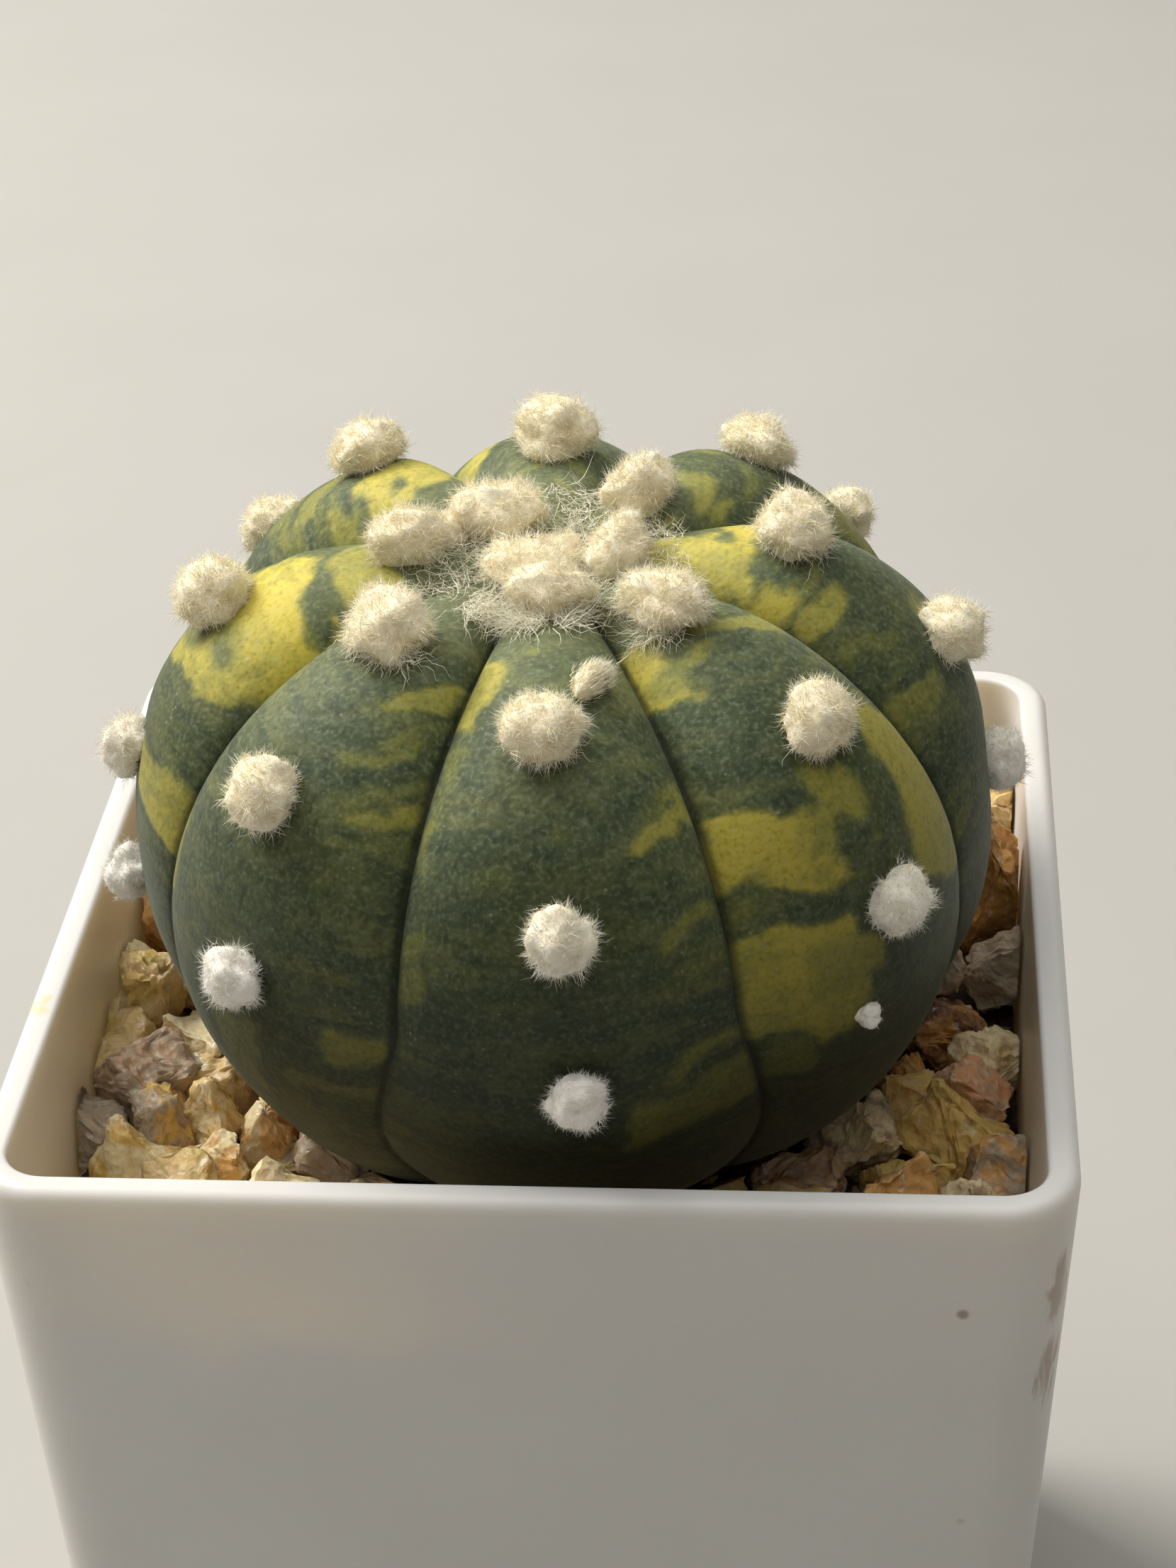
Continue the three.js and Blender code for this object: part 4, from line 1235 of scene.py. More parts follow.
# %% [markdown]
# ## A tuft
# A tuft is a soft ball the size of a lentil. Its core is a ball that noise in three sizes swells into
# lobes, and locks of short thin hairs cover it all over. Evenly random locks would look like a brush, but
# wool mats, so a slow noise leans neighbouring locks the same way, and most lie along the surface. Where
# another noise is low, the locks are tan. The core is shaded smoothly and the hairs keep flat faces,
# which catch the light one by one. Long loose hairs straggle out at the foot. On a steep slope the whole
# tuft sags.

# %% Tufts
GOLDEN_ANGLE = math.pi * (3 - math.sqrt(5))
CORE_SHARE = 0.45
# How many lumps fit round a tuft, and how far they stand out
CORE_LUMPS = ((1.3, 0.34), (3.1, 0.09), (6.5, 0.04))
CORE_WARP = 0.12
CORE_WARP_SCALE = 2
CORE_FINENESS = 4
LUMP_CONTRAST = 2.6
TUFT_SEED = 1000
TUFT_STRETCH_RANGE = (0.9, 1.1)
TUFT_FLATNESS = 0.88
TUFT_LIFT = 0.2
TUFT_SAG = 0.17
# How far a tuft's seed moves it through the noise
SHIFT_STEPS = (3.1, 1.7, 0)
# How much of the ball the locks cover, from its top, 0, to its lowest point, 2
WRAP = 1.62
LEAN_SCALE = 2.4
LOCK_LEAN = 1.0
LOCK_TANGLE = 0.8
LOWEST_RISE = 0.08
ROOT_SHARE = 0.95
LOCK_REACH = (0.11, 0.22)
# Below the first value of the patch noise a lock is tan, and above the second white
PATCH_SCALE = 2.2
PATCH_SCATTER = 0.3
TAN_PATCH = -0.24
WHITE_PATCH = 0.04
STRAY_HEIGHTS = (-0.5, 0.1)
STRAY_TANGLE = 1.2
STRAY_REACH = (0.18, 0.38)


class Tuft:
    """One tuft: where it stands, how wide it is, and how its core bulges."""

    def __init__(self, site, width, seed, stretch=None):
        point, out, self.turn = site
        self.draw = seeded_random(TUFT_SEED + seed)
        self.width = width
        self.middle = point + out * width * TUFT_LIFT - Vector((0, 0, width * TUFT_SAG * (1 - out.z)))
        own = [between(TUFT_STRETCH_RANGE, self.draw) for _ in range(3)]
        self.stretch = Vector(stretch or (own[0], own[1], own[2] * TUFT_FLATNESS))
        self.shift = Vector([seed * step for step in SHIFT_STEPS])

    def lumps(self, direction):
        """How far the core stands out in a direction: all lumps together, and the fine ones alone."""
        warp = noise.noise_vector(direction * CORE_WARP_SCALE + self.shift)
        warped = direction + warp * CORE_WARP
        heights = [depth * noise.noise(warped * rate + self.shift) for rate, depth in CORE_LUMPS]
        return sum(heights), sum(heights[1:])

    def core_point(self, direction, share=1.0):
        """A point of the core's surface, or nearer its middle, in the tuft's own axes."""
        reach = CORE_SHARE * (1 + self.lumps(direction)[0]) * share
        return direction * reach * self.stretch * self.width

    def placed(self, local):
        """A point of the tuft's own axes in the scene's."""
        return self.middle + self.turn @ local

    def patch(self, direction):
        """The noise that makes one side of a tuft tan and another white."""
        return noise.noise(direction * PATCH_SCALE - self.shift)

    def jitter(self):
        return Vector((self.draw() - 0.5, self.draw() - 0.5, self.draw() - 0.5))


def turned_site(site, degrees):
    """The same site with its sideways axis along a heading, seen from above, from +X towards +Y."""
    point, out, _ = site
    ahead = Vector((math.cos(math.radians(degrees)), math.sin(math.radians(degrees)), 0))
    side = (ahead - out * ahead.dot(out)).normalized()
    return point, out, Matrix((side, out.cross(side), out)).transposed().to_4x4()


def add_core(bm, tuft):
    core = wool_bmesh()
    bmesh.ops.create_icosphere(core, subdivisions=CORE_FINENESS, radius=1)
    shade_layer = core.verts.layers.float["shade"]
    tip_layer = core.verts.layers.float["tip"]
    for vert in core.verts:
        direction = vert.co.normalized()
        # Painted shade, partly the wool's own tint: where the fine lumps sink the core gets a low tip value,
        # which the finish makes tan, and where they rise a high one, which it makes white
        vert[tip_layer] = min(max(0.5 + LUMP_CONTRAST * tuft.lumps(direction)[1], 0), 1)
        vert[shade_layer] = 0.5 + 0.5 * tuft.patch(direction)
        vert.co = tuft.placed(tuft.core_point(direction))
    for face in core.faces:
        face.smooth = True
    pour(core, bm)


def add_tuft(bm, tuft, locks, strays, shapes=LOCKS, sweep=(0, 0, 0), reach=LOCK_REACH):
    """A woolly tuft on a site of the skin. Its foot is sunk into the ridge."""
    add_core(bm, tuft)
    draw = tuft.draw
    for lock in range(locks):
        height = 1 - WRAP * (lock + 0.5) / locks
        ring = math.sqrt(1 - height * height)
        angle = lock * GOLDEN_ANGLE
        direction = Vector((ring * math.cos(angle), ring * math.sin(angle), height))
        lean = noise.noise_vector(direction * LEAN_SCALE + tuft.shift)
        patch = tuft.patch(direction) + PATCH_SCATTER * (draw() - 0.5)
        shade = sum(patch >= limit for limit in (TAN_PATCH, WHITE_PATCH))
        rise = lerp(LOWEST_RISE, 1, draw() ** 2)
        heading = direction * rise + lean * LOCK_LEAN + tuft.jitter() * LOCK_TANGLE + Vector(sweep)
        root = tuft.placed(tuft.core_point(direction, ROOT_SHARE))
        plant_hair(bm, shapes[shade], root, tuft.turn @ heading, tuft.width * between(reach, draw), draw)
    for _ in range(strays):
        angle = 2 * math.pi * draw()
        direction = Vector((math.cos(angle), math.sin(angle), between(STRAY_HEIGHTS, draw)))
        root = tuft.placed(tuft.core_point(direction.normalized(), ROOT_SHARE))
        heading = direction + tuft.jitter() * STRAY_TANGLE
        length = tuft.width * between(STRAY_REACH, draw)
        plant_hair(bm, LONG_HAIRS, root, tuft.turn @ heading, length, draw)


# %% [markdown]
# Wool near the crown is young and cream with tan hollows, and lower down it has weathered to white. The
# tan, in the core's dips and towards the roots, is partly the wool's own tint and partly painted shade.
# The finish reads the height over the pot's base for the age. Light bounces between pale hairs until
# hardly any shade is left, so the tones are near white, and a little sheen pales the outline. Subsurface
# would suit one hair, but inside a lock it turns the wool grey, so there is none. The finest fibres are a
# relief from a strongly bent noise, which also mixes the tones.

# %% Wool finish
FIBRE_SCALE = 5200
FIBRE_DEPTH = 0.06 * MM
CLUMP_SCALE = 1300
CLUMP_DEPTH = 0.1 * MM
# Above the first height all wool is young, and below the second old, in metres
YOUNG_HEIGHT = 0.1
OLD_HEIGHT = 0.084


def wool_material():
    finish = Finish("wool", Roughness=0.95, Specular_IOR_Level=0.1, Sheen_Weight=0.25,
                    Sheen_Roughness=0.5, Sheen_Tint=tone(255, 251, 240))
    tip = finish.attribute("tip")
    shade = finish.attribute("shade")
    fibres = finish.noise(FIBRE_SCALE, 3, None, 2.2)
    clumps = finish.noise(CLUMP_SCALE, 3, None, 1.2)
    height_in_lock = finish.maths("ADD", tip, finish.swing(fibres, 0.9))
    height_in_lock = finish.maths("ADD", height_in_lock, finish.swing(clumps, 0.7), clamp=True)
    # Painted shade, partly the wool's own tint: deep in a lock and in the core's dips the wool is tan, and
    # towards the tips it is white
    hollow_tint_and_shade = finish.mix(shade, tone(238, 206, 148), tone(253, 235, 194))
    young = finish.mix(finish.step(height_in_lock, 0, 0.6), hollow_tint_and_shade, tone(255, 246, 217))
    young = finish.mix(finish.step(height_in_lock, 0.6, 1), young, tone(255, 252, 236))
    old = finish.mix(height_in_lock, tone(246, 238, 222), tone(255, 254, 250))
    height = finish.add("SeparateXYZ", {0: finish.place}, "Z")
    finish.colour(finish.mix(finish.step(height, YOUNG_HEIGHT, OLD_HEIGHT), young, old))
    matted = finish.bump(fibres, FIBRE_DEPTH)
    finish.bump(clumps, CLUMP_DEPTH, under=matted)
    return finish.material


WOOL = wool_material()


# %% [markdown]
# The tufts on the ridges are two pieces, because one would be too heavy: the young ones near the crown
# and the older ones below. Small tufts get fewer locks. The bud beside the front ridge is the youngest
# and still a closed pointed brush. Its long axis is turned up the slope, its hairs are swept that way,
# and stiff bristles stick out at its tip.

# %% Tufts on the ridges
LOCKS_PER_TUFT = 220
LOWER_LOCKS_PER_TUFT = 190
STRAYS_PER_TUFT = 26
FULL_WIDTH = 5.0
# The upper piece ends this far down the ridges, in mm
UPPER_TUFTS_END = 26
UPPER_SEED = 1
LOWER_SEED = 40
BUD = SIDE_TUFTS[0]
BUD_SEED = 3
BUD_HEADING = 58
BUD_STRETCH = (0.98, 0.5, 0.54)
BUD_SWEEP = (2.4, 0, 0.1)
BUD_REACH = (0.2, 0.34)
BUD_BRISTLES = 12
BRISTLE_PLACE = Vector((0.36, 0, 0.08))
BRISTLE_SCATTER = 0.4
BRISTLE_HEADING = Vector((1, 0, 0.4))
BRISTLE_LENGTHS = (0.7, 1.3)


def add_bud(bm):
    """The pointed young brush beside the front ridge."""
    rib, along, aside, width = BUD
    site = turned_site(skin_site(rib, along * MM, aside * MM), BUD_HEADING)
    tuft = Tuft(site, width * MM, BUD_SEED, BUD_STRETCH)
    add_tuft(bm, tuft, LOCKS_PER_TUFT // 2, 0, BRUSH_LOCKS, BUD_SWEEP, BUD_REACH)
    for _ in range(BUD_BRISTLES):
        root = tuft.placed(BRISTLE_PLACE * tuft.width + tuft.jitter() * tuft.width * BRISTLE_SCATTER)
        heading = tuft.turn @ (BRISTLE_HEADING + tuft.jitter() * STRAY_TANGLE)
        plant_hair(bm, BRISTLES, root, heading, between(BRISTLE_LENGTHS, tuft.draw) * MM, tuft.draw)


def make_ridge_tufts(name, rows, first_seed, locks):
    bm = wool_bmesh()
    for number, row in enumerate(rows):
        rib, along, aside, width = row
        if row == BUD:
            add_bud(bm)
        else:
            share = min(width / FULL_WIDTH, 1) ** 2
            stretch = TUFT_STRETCHES.get((rib, along))
            tuft = Tuft(skin_site(rib, along * MM, aside * MM), width * MM, first_seed + number, stretch)
            add_tuft(bm, tuft, int(locks * share), int(STRAYS_PER_TUFT * share))
    finish_piece(bm, name, WOOL, keep_shading=True)


upper_rows = [row for row in tuft_list() if row[1] <= UPPER_TUFTS_END]
lower_rows = [row for row in tuft_list() if row[1] > UPPER_TUFTS_END]
make_ridge_tufts("upper_tufts", upper_rows, UPPER_SEED, LOCKS_PER_TUFT)
make_ridge_tufts("lower_tufts", lower_rows, LOWER_SEED, LOWER_LOCKS_PER_TUFT)

# %% [markdown]
# ## The crown wool
# Over the growing point the youngest tufts crowd together with flat matted pads between them, all on a
# web of long tangled hairs. The tufts and pads are made as before, each stretched along its own heading.
# The web is long thin hairs laid nearly flat on the skin in every direction, thinner towards its rim.
# Below the front and back pads, and under three of the first ridge tufts, it hangs out as a ragged
# skirt. Three single hairs hang from it over the front rib.

# %% Crown wool
# Rib, distance along, aside and width in mm, the stretch, and the heading of the long axis in degrees
CROWN_TUFTS = [
    (0, 6.4, 0.2, 5.4, (1.05, 0.78, 0.72), 5),
    (7, 2.6, 0.9, 6.4, (1.05, 0.8, 0.42), 20),
    (1, 0.6, 0, 4.4, (1.0, 0.85, 0.6), 40),
    (2, 4.6, -0.7, 5.1, (1.12, 0.76, 0.8), 52),
    (3, 8.2, -0.4, 5.0, (1.08, 0.86, 0.9), 50),
    (5, 4.7, -0.2, 5.7, (1.08, 0.8, 0.8), 10),
    (5, 7.0, 1.6, 2.8, (1.1, 0.8, 0.6), 120),
]
CROWN_SEED = 80
CROWN_LOCKS = 165
CROWN_STRAYS = 40
WEB_SEED = 500
WEB_HAIRS = 2000
WEB_FAN = 2.2
WEB_RISES = (-0.05, 0.35)
WEB_LENGTHS = (1.2, 3.2)
WEB_RADIUS = 9 * MM
WEB_CROWDING = 0.6
WEB_HEIGHT = 1.6 * MM
WEB_TAPER = 1.1
# Half the width of a rib's share of the web, for each unit of distance along
WEB_FLANK = 0.4
# Rib, distance along and aside in mm, reach along and across in mm, and hairs
SKIRTS = [
    (0, 8.8, -0.9, 1.4, 3.2, 420),
    (7, 8.0, 2.0, 1.5, 1.6, 300),
    (7, 15.0, 1.2, 1.0, 2.2, 160),
    (1, 12.6, -2.6, 1.4, 1.4, 130),
    (5, 6, 2.2, 2, 1.2, 90),
    (2, 17, 0, 0.8, 1.8, 70),
]
SKIRT_HEIGHT = 0.5 * MM
# Distance aside and along the front rib, and length, in mm
HANGING_HAIRS = [(0.9, 10.6, 3.4), (1.5, 10.4, 3.0), (-0.2, 10.4, 2.2)]
HANGING_RISE = 0.25
HANGING_SPLAY = 0.1


def add_web_hair(bm, rib, along, aside, lift, draw):
    """A long hair that lies nearly flat on the skin and mostly runs down the slope."""
    point, out, turn = skin_site(rib, along, aside)
    angle = WEB_FAN * (draw() + draw() - 1)
    heading = turn @ Vector((math.sin(angle), -math.cos(angle), between(WEB_RISES, draw)))
    plant_hair(bm, LONG_HAIRS, point + out * lift, heading, between(WEB_LENGTHS, draw) * MM, draw)


def add_web(bm, draw):
    for _ in range(WEB_HAIRS):
        rib = int(draw() * RIBS)
        share = draw() ** WEB_CROWDING
        along = max(WEB_RADIUS * share, MM / 2)
        lift = WEB_HEIGHT * draw() * (WEB_TAPER - share)
        add_web_hair(bm, rib, along, between((-1, 1), draw) * along * WEB_FLANK, lift, draw)


def add_skirts(bm, draw):
    for rib, along, aside, reach_along, reach_across, hairs in SKIRTS:
        for _ in range(hairs):
            place_along = (along + reach_along * (draw() + draw() - 1)) * MM
            place_aside = (aside + reach_across * (draw() + draw() - 1)) * MM
            add_web_hair(bm, rib, place_along, place_aside, SKIRT_HEIGHT * draw(), draw)


def add_hanging_hairs(bm, draw):
    for aside, along, length in HANGING_HAIRS:
        point, out, turn = skin_site(0, along * MM, aside * MM)
        heading = turn @ Vector((HANGING_SPLAY * aside, -1, HANGING_RISE))
        plant_hair(bm, LONG_HAIRS, point + out * MM / 2, heading, length * MM, draw)


def make_crown_wool():
    bm = wool_bmesh()
    for number, (rib, along, aside, width, stretch, heading) in enumerate(CROWN_TUFTS):
        site = turned_site(skin_site(rib, along * MM, aside * MM), heading)
        add_tuft(bm, Tuft(site, width * MM, CROWN_SEED + number, stretch), CROWN_LOCKS, CROWN_STRAYS)
    draw = seeded_random(WEB_SEED)
    add_web(bm, draw)
    add_skirts(bm, draw)
    add_hanging_hairs(bm, draw)
    wool = finish_piece(bm, "crown_felt", WOOL, keep_shading=True)
    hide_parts("crown_wool")


make_crown_wool()

# %% [markdown]
# ## The gravel
# The stones are broken quartz, so each starts as the solid's own stone: the hull of a block's eight
# corners, each knocked a little out of place. The same draws in the same order put each stone where its
# solid is. The hull's edges are bevelled, its faces divided, and the points moved by noise to the rough
# crystalline break. Last, what would reach through the pot's wall or into the plant is pressed back.

# %% Gravel sizes
BED_DROP = 11.2 * MM
BED_SLOPE = 0.1
STONE_PITCH = 5.8 * MM
STONE_SIZE = 5.6 * MM
STONE_SPREAD = 1.6 * MM
STONE_BLOCKINESS = 0.8
STONE_ROUGHNESS = 0.34
STONE_LIFT = 1.5 * MM
STONE_SINK = 1.6 * MM
STONE_CLEARANCE = 3 * MM
GRAVEL_SEED = 2026
WALL_GAP = 0.25 * MM
PLANT_GAP = 0.5 * MM

CREAM = tone(232, 212, 170)
TAN = tone(206, 178, 132)
HONEY = tone(216, 178, 106)
AMBER = tone(184, 138, 78)
ORANGE = tone(208, 160, 98)
GREY = tone(164, 150, 132)
PINK = tone(206, 174, 148)
SALMON = tone(206, 152, 112)
BROWN = tone(98, 66, 42)
OLIVE = tone(188, 164, 96)

# Middle across and back, drop of the top under the rim, width and depth in mm, colour and accent
PLACED_STONES = [
    (-30.2, -1.5, 3.7, 5, 5.4, TAN, OLIVE),
    (-28.8, -8.6, 5.6, 7.2, 6.4, GREY, PINK),
    (-26, -2.5, 8.2, 3.8, 4.4, PINK, TAN),
    (-23.4, -8.5, 7.8, 5, 4.8, CREAM, TAN),
    (-27.2, -13.2, 7.6, 5.8, 5.2, GREY, HONEY),
    (-23.4, -12.2, 8, 3.8, 4.2, HONEY, CREAM),
    (-19.4, -13.2, 8.4, 4.8, 4.8, CREAM, ORANGE),
    (-27.8, -17.2, 8.5, 5.8, 5.2, CREAM, HONEY),
    (-22.4, -17.2, 9.4, 4.4, 4.4, ORANGE, CREAM),
    (-17, -14.2, 10.1, 4.8, 4.2, OLIVE, GREY),
    (30.4, 11.5, 2, 4.4, 5.4, AMBER, ORANGE),
    (29.6, -3.2, 8, 4.8, 4.8, CREAM, TAN),
    (26.6, 0.4, 8.6, 4.4, 4.6, BROWN, AMBER),
    (28.8, -7.4, 8, 5.6, 4.4, SALMON, PINK),
    (24.6, -6.6, 8.6, 4.6, 4.6, AMBER, ORANGE),
    (27.8, -11.6, 8.1, 5.8, 5.4, HONEY, OLIVE),
    (21.6, -12.2, 8.2, 5.6, 5.2, CREAM, GREY),
    (30.2, -16.6, 8, 4.2, 4.6, GREY, ORANGE),
    (24.4, -16.8, 9.8, 5.8, 4.6, OLIVE, HONEY),
    (28.6, -21, 9, 6, 4.8, GREY, CREAM),
    (16.8, -15.6, 9.9, 6.2, 5, PINK, AMBER),
]
# The other stones go through these colours, and through their accents, in steps
STONE_COLOURS = [CREAM, TAN, HONEY, CREAM, GREY, PINK, ORANGE, TAN, OLIVE, AMBER, CREAM, GREY]
COLOUR_STEP = 5
ACCENT_STEP = 7
FIRST_ACCENT = 3


def bed_top_at(y):
    return POT_HEIGHT - BED_DROP + BED_SLOPE * y


def body_radius_at(z):
    """The plant's half width at a height below its middle."""
    depth = max(BODY_CENTRE.z - z, 0) / FOOT_DEPTH
    return BODY_RADIUS * max(1 - depth ** FOOT_POWER, 0) ** (1 / FOOT_POWER)


# %% [markdown]
# Each stone is shaped in a bmesh of its own, and poured into the gravel's. The plant and the wall are
# formulas, so a point that would reach into them is moved back to their limit: on the wall's straight
# sides, in its round corners, and round the plant.

# %% A stone
CHIP_SCALE = 380
CHIP_DEPTH = 0.8 * MM
KNOB_SCALE = 900
KNOB_DEPTH = 0.55 * MM
CRYSTAL_SCALE = 2000
CRYSTAL_DEPTH = 0.18 * MM
STONE_EDGE = 0.5 * MM
STONE_SWELL = 1.1
WEARING_ROUNDS = 4
STONE_SHIFTS = (0.37, 0.11, 0)


def stone_bmesh():
    bm = bmesh.new()
    bm.verts.layers.float_color.new("stone_colour")
    bm.verts.layers.float_color.new("stone_accent")
    return bm


def dye(bm, colour, accent):
    """Keeps a stone's two colours on its points."""
    colour_layer = bm.verts.layers.float_color["stone_colour"]
    accent_layer = bm.verts.layers.float_color["stone_accent"]
    for vert in bm.verts:
        vert[colour_layer] = colour
        vert[accent_layer] = accent


def press_back(point):
    """Keeps a point inside the pot's wall and outside the plant."""
    limit = half_width_at(point.z, 1) - WALL_GAP
    corner = CORNER_RADIUS - RIM_WALL
    x = min(max(point.x, -limit), limit)
    y = min(max(point.y, -limit), limit)
    over_x = abs(x) - (limit - corner)
    over_y = abs(y) - (limit - corner)
    if over_x > 0 and over_y > 0:
        shrink = min(corner / math.hypot(over_x, over_y), 1)
        x = math.copysign(limit - corner + over_x * shrink, x)
        y = math.copysign(limit - corner + over_y * shrink, y)
    aside = Vector((x - BODY_CENTRE.x, y - BODY_CENTRE.y))
    free = body_radius_at(point.z) + PLANT_GAP
    if 0 < aside.length < free:
        aside *= free / aside.length
        x = BODY_CENTRE.x + aside.x
        y = BODY_CENTRE.y + aside.y
    return Vector((x, y, point.z))


def stone_corners(centre, size, draw):
    """The eight corners, drawn in the order in which the solid's stones are drawn."""
    turn = Euler([math.pi * draw() for _ in range(3)], "ZYX").to_matrix()
    corners = []
    for bits in range(8):
        sides = [0.5 if bits & bit else -0.5 for bit in (1, 2, 4)]
        corner = turn @ (Vector(sides) * STONE_BLOCKINESS)
        corner += Vector([STONE_ROUGHNESS * (draw() - 0.5) for _ in range(3)])
        corners.append(centre + Vector([a * b for a, b in zip(corner, size)]))
    return corners


def add_stone(bm, corners, cuts, colour, accent, number):
    """A broken stone on these corners. Its number moves it through the noise."""
    stone = stone_bmesh()
    for corner in corners:
        stone.verts.new(corner)
    hull = bmesh.ops.convex_hull(stone, input=stone.verts)
    spare = {part for part in hull["geom_interior"] + hull["geom_unused"]
             if isinstance(part, bmesh.types.BMVert)}
    bmesh.ops.delete(stone, geom=list(spare), context="VERTS")
    bmesh.ops.bevel(stone, geom=stone.edges[:], offset=STONE_EDGE, offset_type="OFFSET", segments=2,
                    profile=0.5, affect="EDGES", material=-1, clamp_overlap=True)
    bmesh.ops.triangulate(stone, faces=stone.faces)
    long_edges = [edge for edge in stone.edges if edge.calc_length() > MM]
    bmesh.ops.subdivide_edges(stone, edges=long_edges, cuts=1, use_grid_fill=True)
    bmesh.ops.triangulate(stone, faces=stone.faces)
    bmesh.ops.subdivide_edges(stone, edges=stone.edges, cuts=cuts, use_grid_fill=True)
    for _ in range(WEARING_ROUNDS):
        bmesh.ops.smooth_vert(stone, verts=stone.verts, factor=0.5, use_axis_x=True, use_axis_y=True,
                              use_axis_z=True)
    centre = sum((vert.co for vert in stone.verts), Vector()) / len(stone.verts)
    for vert in stone.verts:
        vert.co = centre + (vert.co - centre) * STONE_SWELL
    stone.normal_update()
    shift = Vector([number * step for step in STONE_SHIFTS])
    moved = []
    for vert in stone.verts:
        chip = noise.noise(vert.co * CHIP_SCALE + shift)
        knob = abs(noise.noise(vert.co * KNOB_SCALE + shift))
        crystal = noise.cell(vert.co * CRYSTAL_SCALE + shift)
        out = CHIP_DEPTH * chip - KNOB_DEPTH * knob + CRYSTAL_DEPTH * (crystal - 0.5)
        moved.append(vert.co + vert.normal * out)
    for vert, place in zip(stone.verts, moved):
        vert.co = press_back(place)
    dye(stone, colour, accent)
    pour(stone, bm)


# %% [markdown]
# Quartz is mottled, with sugary crystals, stained veins and a wax-like gloss, and lets light in a little
# way. Each stone's colour and accent come from its points, and noise in several sizes mixes, pales and
# dirties them.

# %% Stone finish
QUARTZ_PATCH_SCALE = 420
PALE_SCALE = 1100
STAIN_SCALE = 650
CRYSTAL_GRAIN_SCALE = 1700
CRYSTAL_GRAIN_DEPTH = 0.12 * MM
PITTED_SCALE = 700
PITTED_DEPTH = 0.3 * MM


def stone_material():
    finish = Finish("quartz", Roughness=0.5, Specular_IOR_Level=0.5, Subsurface_Weight=0.3,
                    Subsurface_Radius=(1, 0.7, 0.4), Subsurface_Scale=1.2 * MM)
    patches = finish.step(finish.noise(QUARTZ_PATCH_SCALE, 4, None, 0.8), 0.42, 0.62)
    base = finish.mix(patches, finish.attribute("stone_colour", "Color"),
                      finish.attribute("stone_accent", "Color"))
    grains = finish.add("SeparateColor", {0: finish.cells(CRYSTAL_GRAIN_SCALE, "Color")}, "Red")
    base = finish.tint(base, grains, 0.4, tone(232, 216, 186), "OVERLAY")
    pale = finish.band(finish.noise(PALE_SCALE, 3), 0.6, 0.72, 0.55)
    base = finish.mix(pale, base, tone(236, 224, 200))
    stains = finish.band(finish.noise(STAIN_SCALE, 5, None, 1.2), 0.6, 0.7, 0.35)
    base = finish.mix(stains, base, tone(136, 94, 52))
    finish.colour(base)
    finish.roughness(grains, 0.3, 0.75)
    fine = finish.bump(finish.cells(CRYSTAL_GRAIN_SCALE), CRYSTAL_GRAIN_DEPTH)
    finish.bump(finish.noise(PITTED_SCALE, 6), PITTED_DEPTH, under=fine)
    return finish.material


QUARTZ = stone_material()

# %% [markdown]
# The stones that the photo shows at the front corners have their own rows of sizes. The others stand in
# rows, each knocked off its place, wherever they touch neither a placed stone nor the plant. The draws
# for a place are made even where no stone comes, as they were for the solids.

# %% Gravel stones
PLACED_CUTS = 2
SCATTERED_CUTS = 1
SCATTERED_NUMBER = 100
STONE_SHARP_ANGLE = math.radians(50)


def add_placed_stones(bm, draw):
    for number, (x, y, drop, width, depth, colour, accent) in enumerate(PLACED_STONES):
        top = POT_HEIGHT - drop * MM
        bottom = bed_top_at(y * MM) - STONE_SINK
        centre = Vector((x * MM, y * MM, (top + bottom) / 2))
        size = Vector((width * MM, depth * MM, top - bottom))
        add_stone(bm, stone_corners(centre, size, draw), PLACED_CUTS, colour, accent, number)


def add_scattered_stones(bm, draw):
    """Rows of stones with jitter, wherever a placed stone or the plant leaves room."""
    reach = half_width_at(POT_HEIGHT - BED_DROP, 1)
    row_gap = STONE_PITCH * math.sin(math.pi / 3)
    rows = int(reach / row_gap)
    count = 0
    for row in range(-rows, rows + 1):
        for column in range(-rows, rows + 1):
            shifts = [STONE_SPREAD * (draw() - 0.5) for _ in range(6)]
            x = (column + math.fmod(row, 2) / 2) * STONE_PITCH + shifts[0]
            y = row * row_gap + shifts[1]
            size = Vector([STONE_SIZE + shift for shift in shifts[2:5]])
            centre = Vector((x, y, bed_top_at(y) + STONE_LIFT + shifts[5] / 2))
            in_pot = max(abs(x), abs(y)) < reach
            taken = any(math.hypot(stone[0] * MM - x, stone[1] * MM - y) < STONE_CLEARANCE
                        for stone in PLACED_STONES)
            plant_distance = math.hypot(x - BODY_CENTRE.x, y - BODY_CENTRE.y)
            if in_pot and not taken and plant_distance >= body_radius_at(centre.z):
                colour = STONE_COLOURS[count * COLOUR_STEP % len(STONE_COLOURS)]
                accent = STONE_COLOURS[(FIRST_ACCENT + count * ACCENT_STEP) % len(STONE_COLOURS)]
                corners = stone_corners(centre, size, draw)
                add_stone(bm, corners, SCATTERED_CUTS, colour, accent, SCATTERED_NUMBER + count)
                count += 1
    return count


def make_gravel():
    bm = stone_bmesh()
    draw = seeded_random(GRAVEL_SEED)
    add_placed_stones(bm, draw)
    print("scattered stones:", add_scattered_stones(bm, draw))
    gravel = finish_piece(bm, "gravel_stones", QUARTZ, STONE_SHARP_ANGLE)
    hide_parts("gravel")


make_gravel()

# %% [markdown]
# Under and between the stones lies fine dark grit. Its bed is a ring: a round loop under the plant is
# bridged to a square loop at the wall, the bridge is divided into many rings and roughened by noise, and
# the same surface lower down closes it below.

# %% Grit bed
GRIT_LOOP = 128
GRIT_RINGS = 26
GRIT_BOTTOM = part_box("gravel")[0].z
GRIT_RELIEF = 0.7 * MM
COARSE_CRUMBS = 700
FINE_CRUMBS = 1900


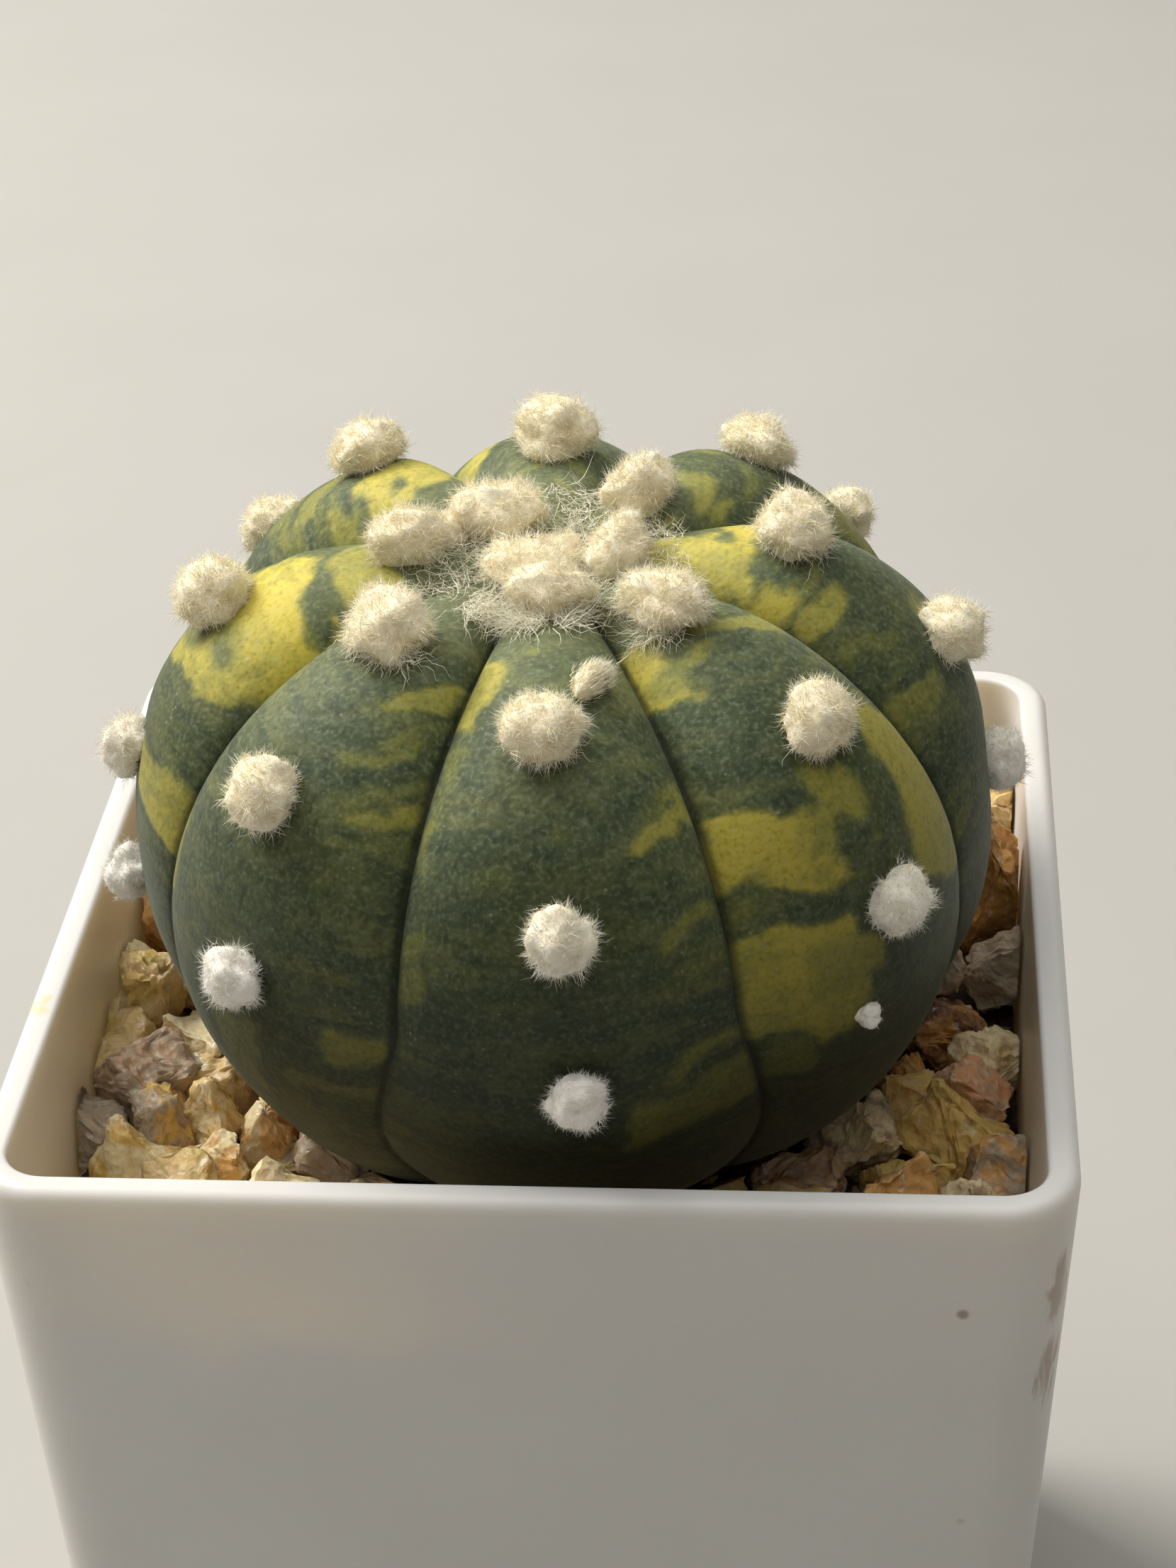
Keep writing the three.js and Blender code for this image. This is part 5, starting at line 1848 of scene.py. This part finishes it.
def grit_top(point):
    """The bed's height at a place, with its crumbs."""
    level = Vector((point.x, point.y, 0))
    crumbs = noise.noise(level * COARSE_CRUMBS) + noise.noise(level * FINE_CRUMBS) / 2
    return bed_top_at(point.y) - MM + GRIT_RELIEF * crumbs


def add_loop(bm, z, outer):
    """A closed loop of points: round the plant, or square along the wall."""
    made = bmesh.ops.create_circle(bm, cap_ends=False, segments=GRIT_LOOP, radius=1)["verts"]
    for vert in made:
        direction = Vector((vert.co.x, vert.co.y, 0))
        if outer:
            reach = half_width_at(z, 1) / max(abs(direction.x), abs(direction.y))
            vert.co = press_back(direction * reach + Vector((0, 0, z)))
        else:
            free = body_radius_at(z) + PLANT_GAP
            vert.co = Vector((BODY_CENTRE.x, BODY_CENTRE.y, z)) + direction * free
    return list({edge for vert in made for edge in vert.link_edges})


def make_grit_bed():
    bm = stone_bmesh()
    top = POT_HEIGHT - BED_DROP - MM
    loops = [add_loop(bm, GRIT_BOTTOM, False), add_loop(bm, GRIT_BOTTOM, True),
             add_loop(bm, top, True), add_loop(bm, top, False)]
    for first, second in zip(loops, loops[1:] + loops[:1]):
        bmesh.ops.bridge_loops(bm, edges=first + second)
    across_top = [edge for edge in bm.edges if all(abs(vert.co.z - top) < TINY for vert in edge.verts)
                  and edge not in loops[2] and edge not in loops[3]]
    bmesh.ops.subdivide_edges(bm, edges=across_top, cuts=GRIT_RINGS, use_grid_fill=True)
    for vert in bm.verts:
        if abs(vert.co.z - top) < TINY:
            vert.co.z = grit_top(vert.co)
    bmesh.ops.recalc_face_normals(bm, faces=bm.faces)
    finish_piece(bm, "grit_bed", SOIL)


make_grit_bed()

# %% [markdown]
# A grain is the simplest ball there is, of twenty triangles, squashed, turned and knocked out of shape.

# %% Loose grains
GRAINS = 420
GRAIN_SEED = 77
GRAIN_RADII = (0.4, 1.1)
GRAIN_STRETCHES = (0.7, 1.2)
GRAIN_FLATNESS = 0.7
GRAIN_ROUGHNESS = 0.25
GRAIN_TURN = 3
GRAIN_SHARP_ANGLE = math.radians(30)
GRAIN_COLOURS = (BROWN, GREY, TAN, BROWN, HONEY)


def make_grains():
    bm = stone_bmesh()
    draw = seeded_random(GRAIN_SEED)
    reach = half_width_at(POT_HEIGHT - BED_DROP, 1) - MM
    placed = 0
    while placed < GRAINS:
        place = Vector((between((-reach, reach), draw), between((-reach, reach), draw), 0))
        place.z = grit_top(place)
        distance = math.hypot(place.x - BODY_CENTRE.x, place.y - BODY_CENTRE.y)
        if distance > body_radius_at(place.z) + MM:
            grain = stone_bmesh()
            bmesh.ops.create_icosphere(grain, subdivisions=1, radius=between(GRAIN_RADII, draw) * MM)
            stretches = [between(GRAIN_STRETCHES, draw) for _ in range(2)]
            squash = Matrix.Diagonal((*stretches, GRAIN_FLATNESS, 1))
            spin = Euler([GRAIN_TURN * draw() for _ in range(3)]).to_matrix().to_4x4()
            bmesh.ops.transform(grain, verts=grain.verts, matrix=squash @ spin)
            for vert in grain.verts:
                vert.co = press_back(vert.co * (1 + GRAIN_ROUGHNESS * (draw() - 0.5)) + place)
            dye(grain, GRAIN_COLOURS[placed % len(GRAIN_COLOURS)], BROWN)
            pour(grain, bm)
            placed += 1
    finish_piece(bm, "grit_grains", QUARTZ, GRAIN_SHARP_ANGLE)


make_grains()

# %% [markdown]
# ## Floor and light
# A plain pale floor fills the picture behind the pot. The light is soft and comes from above and from
# the left, a little behind: the rim and the tufts' tops are bright, and the pot's front lies in its own
# shade. A dim even sky fills that shade.

# %% Stage
FLOOR_SIZE = 4
FLOOR_CLOUD_SCALE = 30
KEY_PLACE = Vector((-0.62, 0.34, 0.7))
KEY_SIZE = 0.5
KEY_POWER = 11.4
KEY_COLOUR = (1, 0.97, 0.92)
TOP_PLACE = Vector((-0.1, 0.1, 1.2))
TOP_SIZE = 1.4
TOP_POWER = 9.8
TOP_COLOUR = (1, 0.99, 0.96)
SKY_STRENGTH = 0.21
SKY_COLOUR = (1, 0.98, 0.95, 1)


def make_floor():
    bm = bmesh.new()
    bmesh.ops.create_grid(bm, x_segments=2, y_segments=2, size=FLOOR_SIZE / 2)
    mesh = as_mesh(bm, "floor")
    finish = Finish("pale_floor", Roughness=0.8, Specular_IOR_Level=0.2)
    finish.colour(finish.mix(finish.noise(FLOOR_CLOUD_SCALE, 3), tone(172, 170, 164), tone(177, 175, 169)))
    mesh.materials.append(finish.material)
    floor = bpy.data.objects.new("floor", mesh)
    bpy.context.scene.collection.objects.link(floor)


def add_area_light(name, place, size, power, colour, target):
    data = bpy.data.lights.new(name, "AREA")
    data.size = size
    data.energy = power
    data.color = colour
    light = bpy.data.objects.new(name, data)
    aim = (target - place).to_track_quat("-Z", "Y").to_matrix().to_4x4()
    light.matrix_world = Matrix.Translation(place) @ aim
    bpy.context.scene.collection.objects.link(light)


make_floor()
add_area_light("key", KEY_PLACE, KEY_SIZE, KEY_POWER, KEY_COLOUR, BODY_CENTRE)
add_area_light("top", TOP_PLACE, TOP_SIZE, TOP_POWER, TOP_COLOUR, BODY_CENTRE)
world = bpy.data.worlds.new("sky")
world.use_nodes = True
sky = world.node_tree.nodes["Background"]
sky.inputs["Color"].default_value = SKY_COLOUR
sky.inputs["Strength"].default_value = SKY_STRENGTH
bpy.context.scene.world = world
bpy.context.scene.view_settings.view_transform = "Standard"
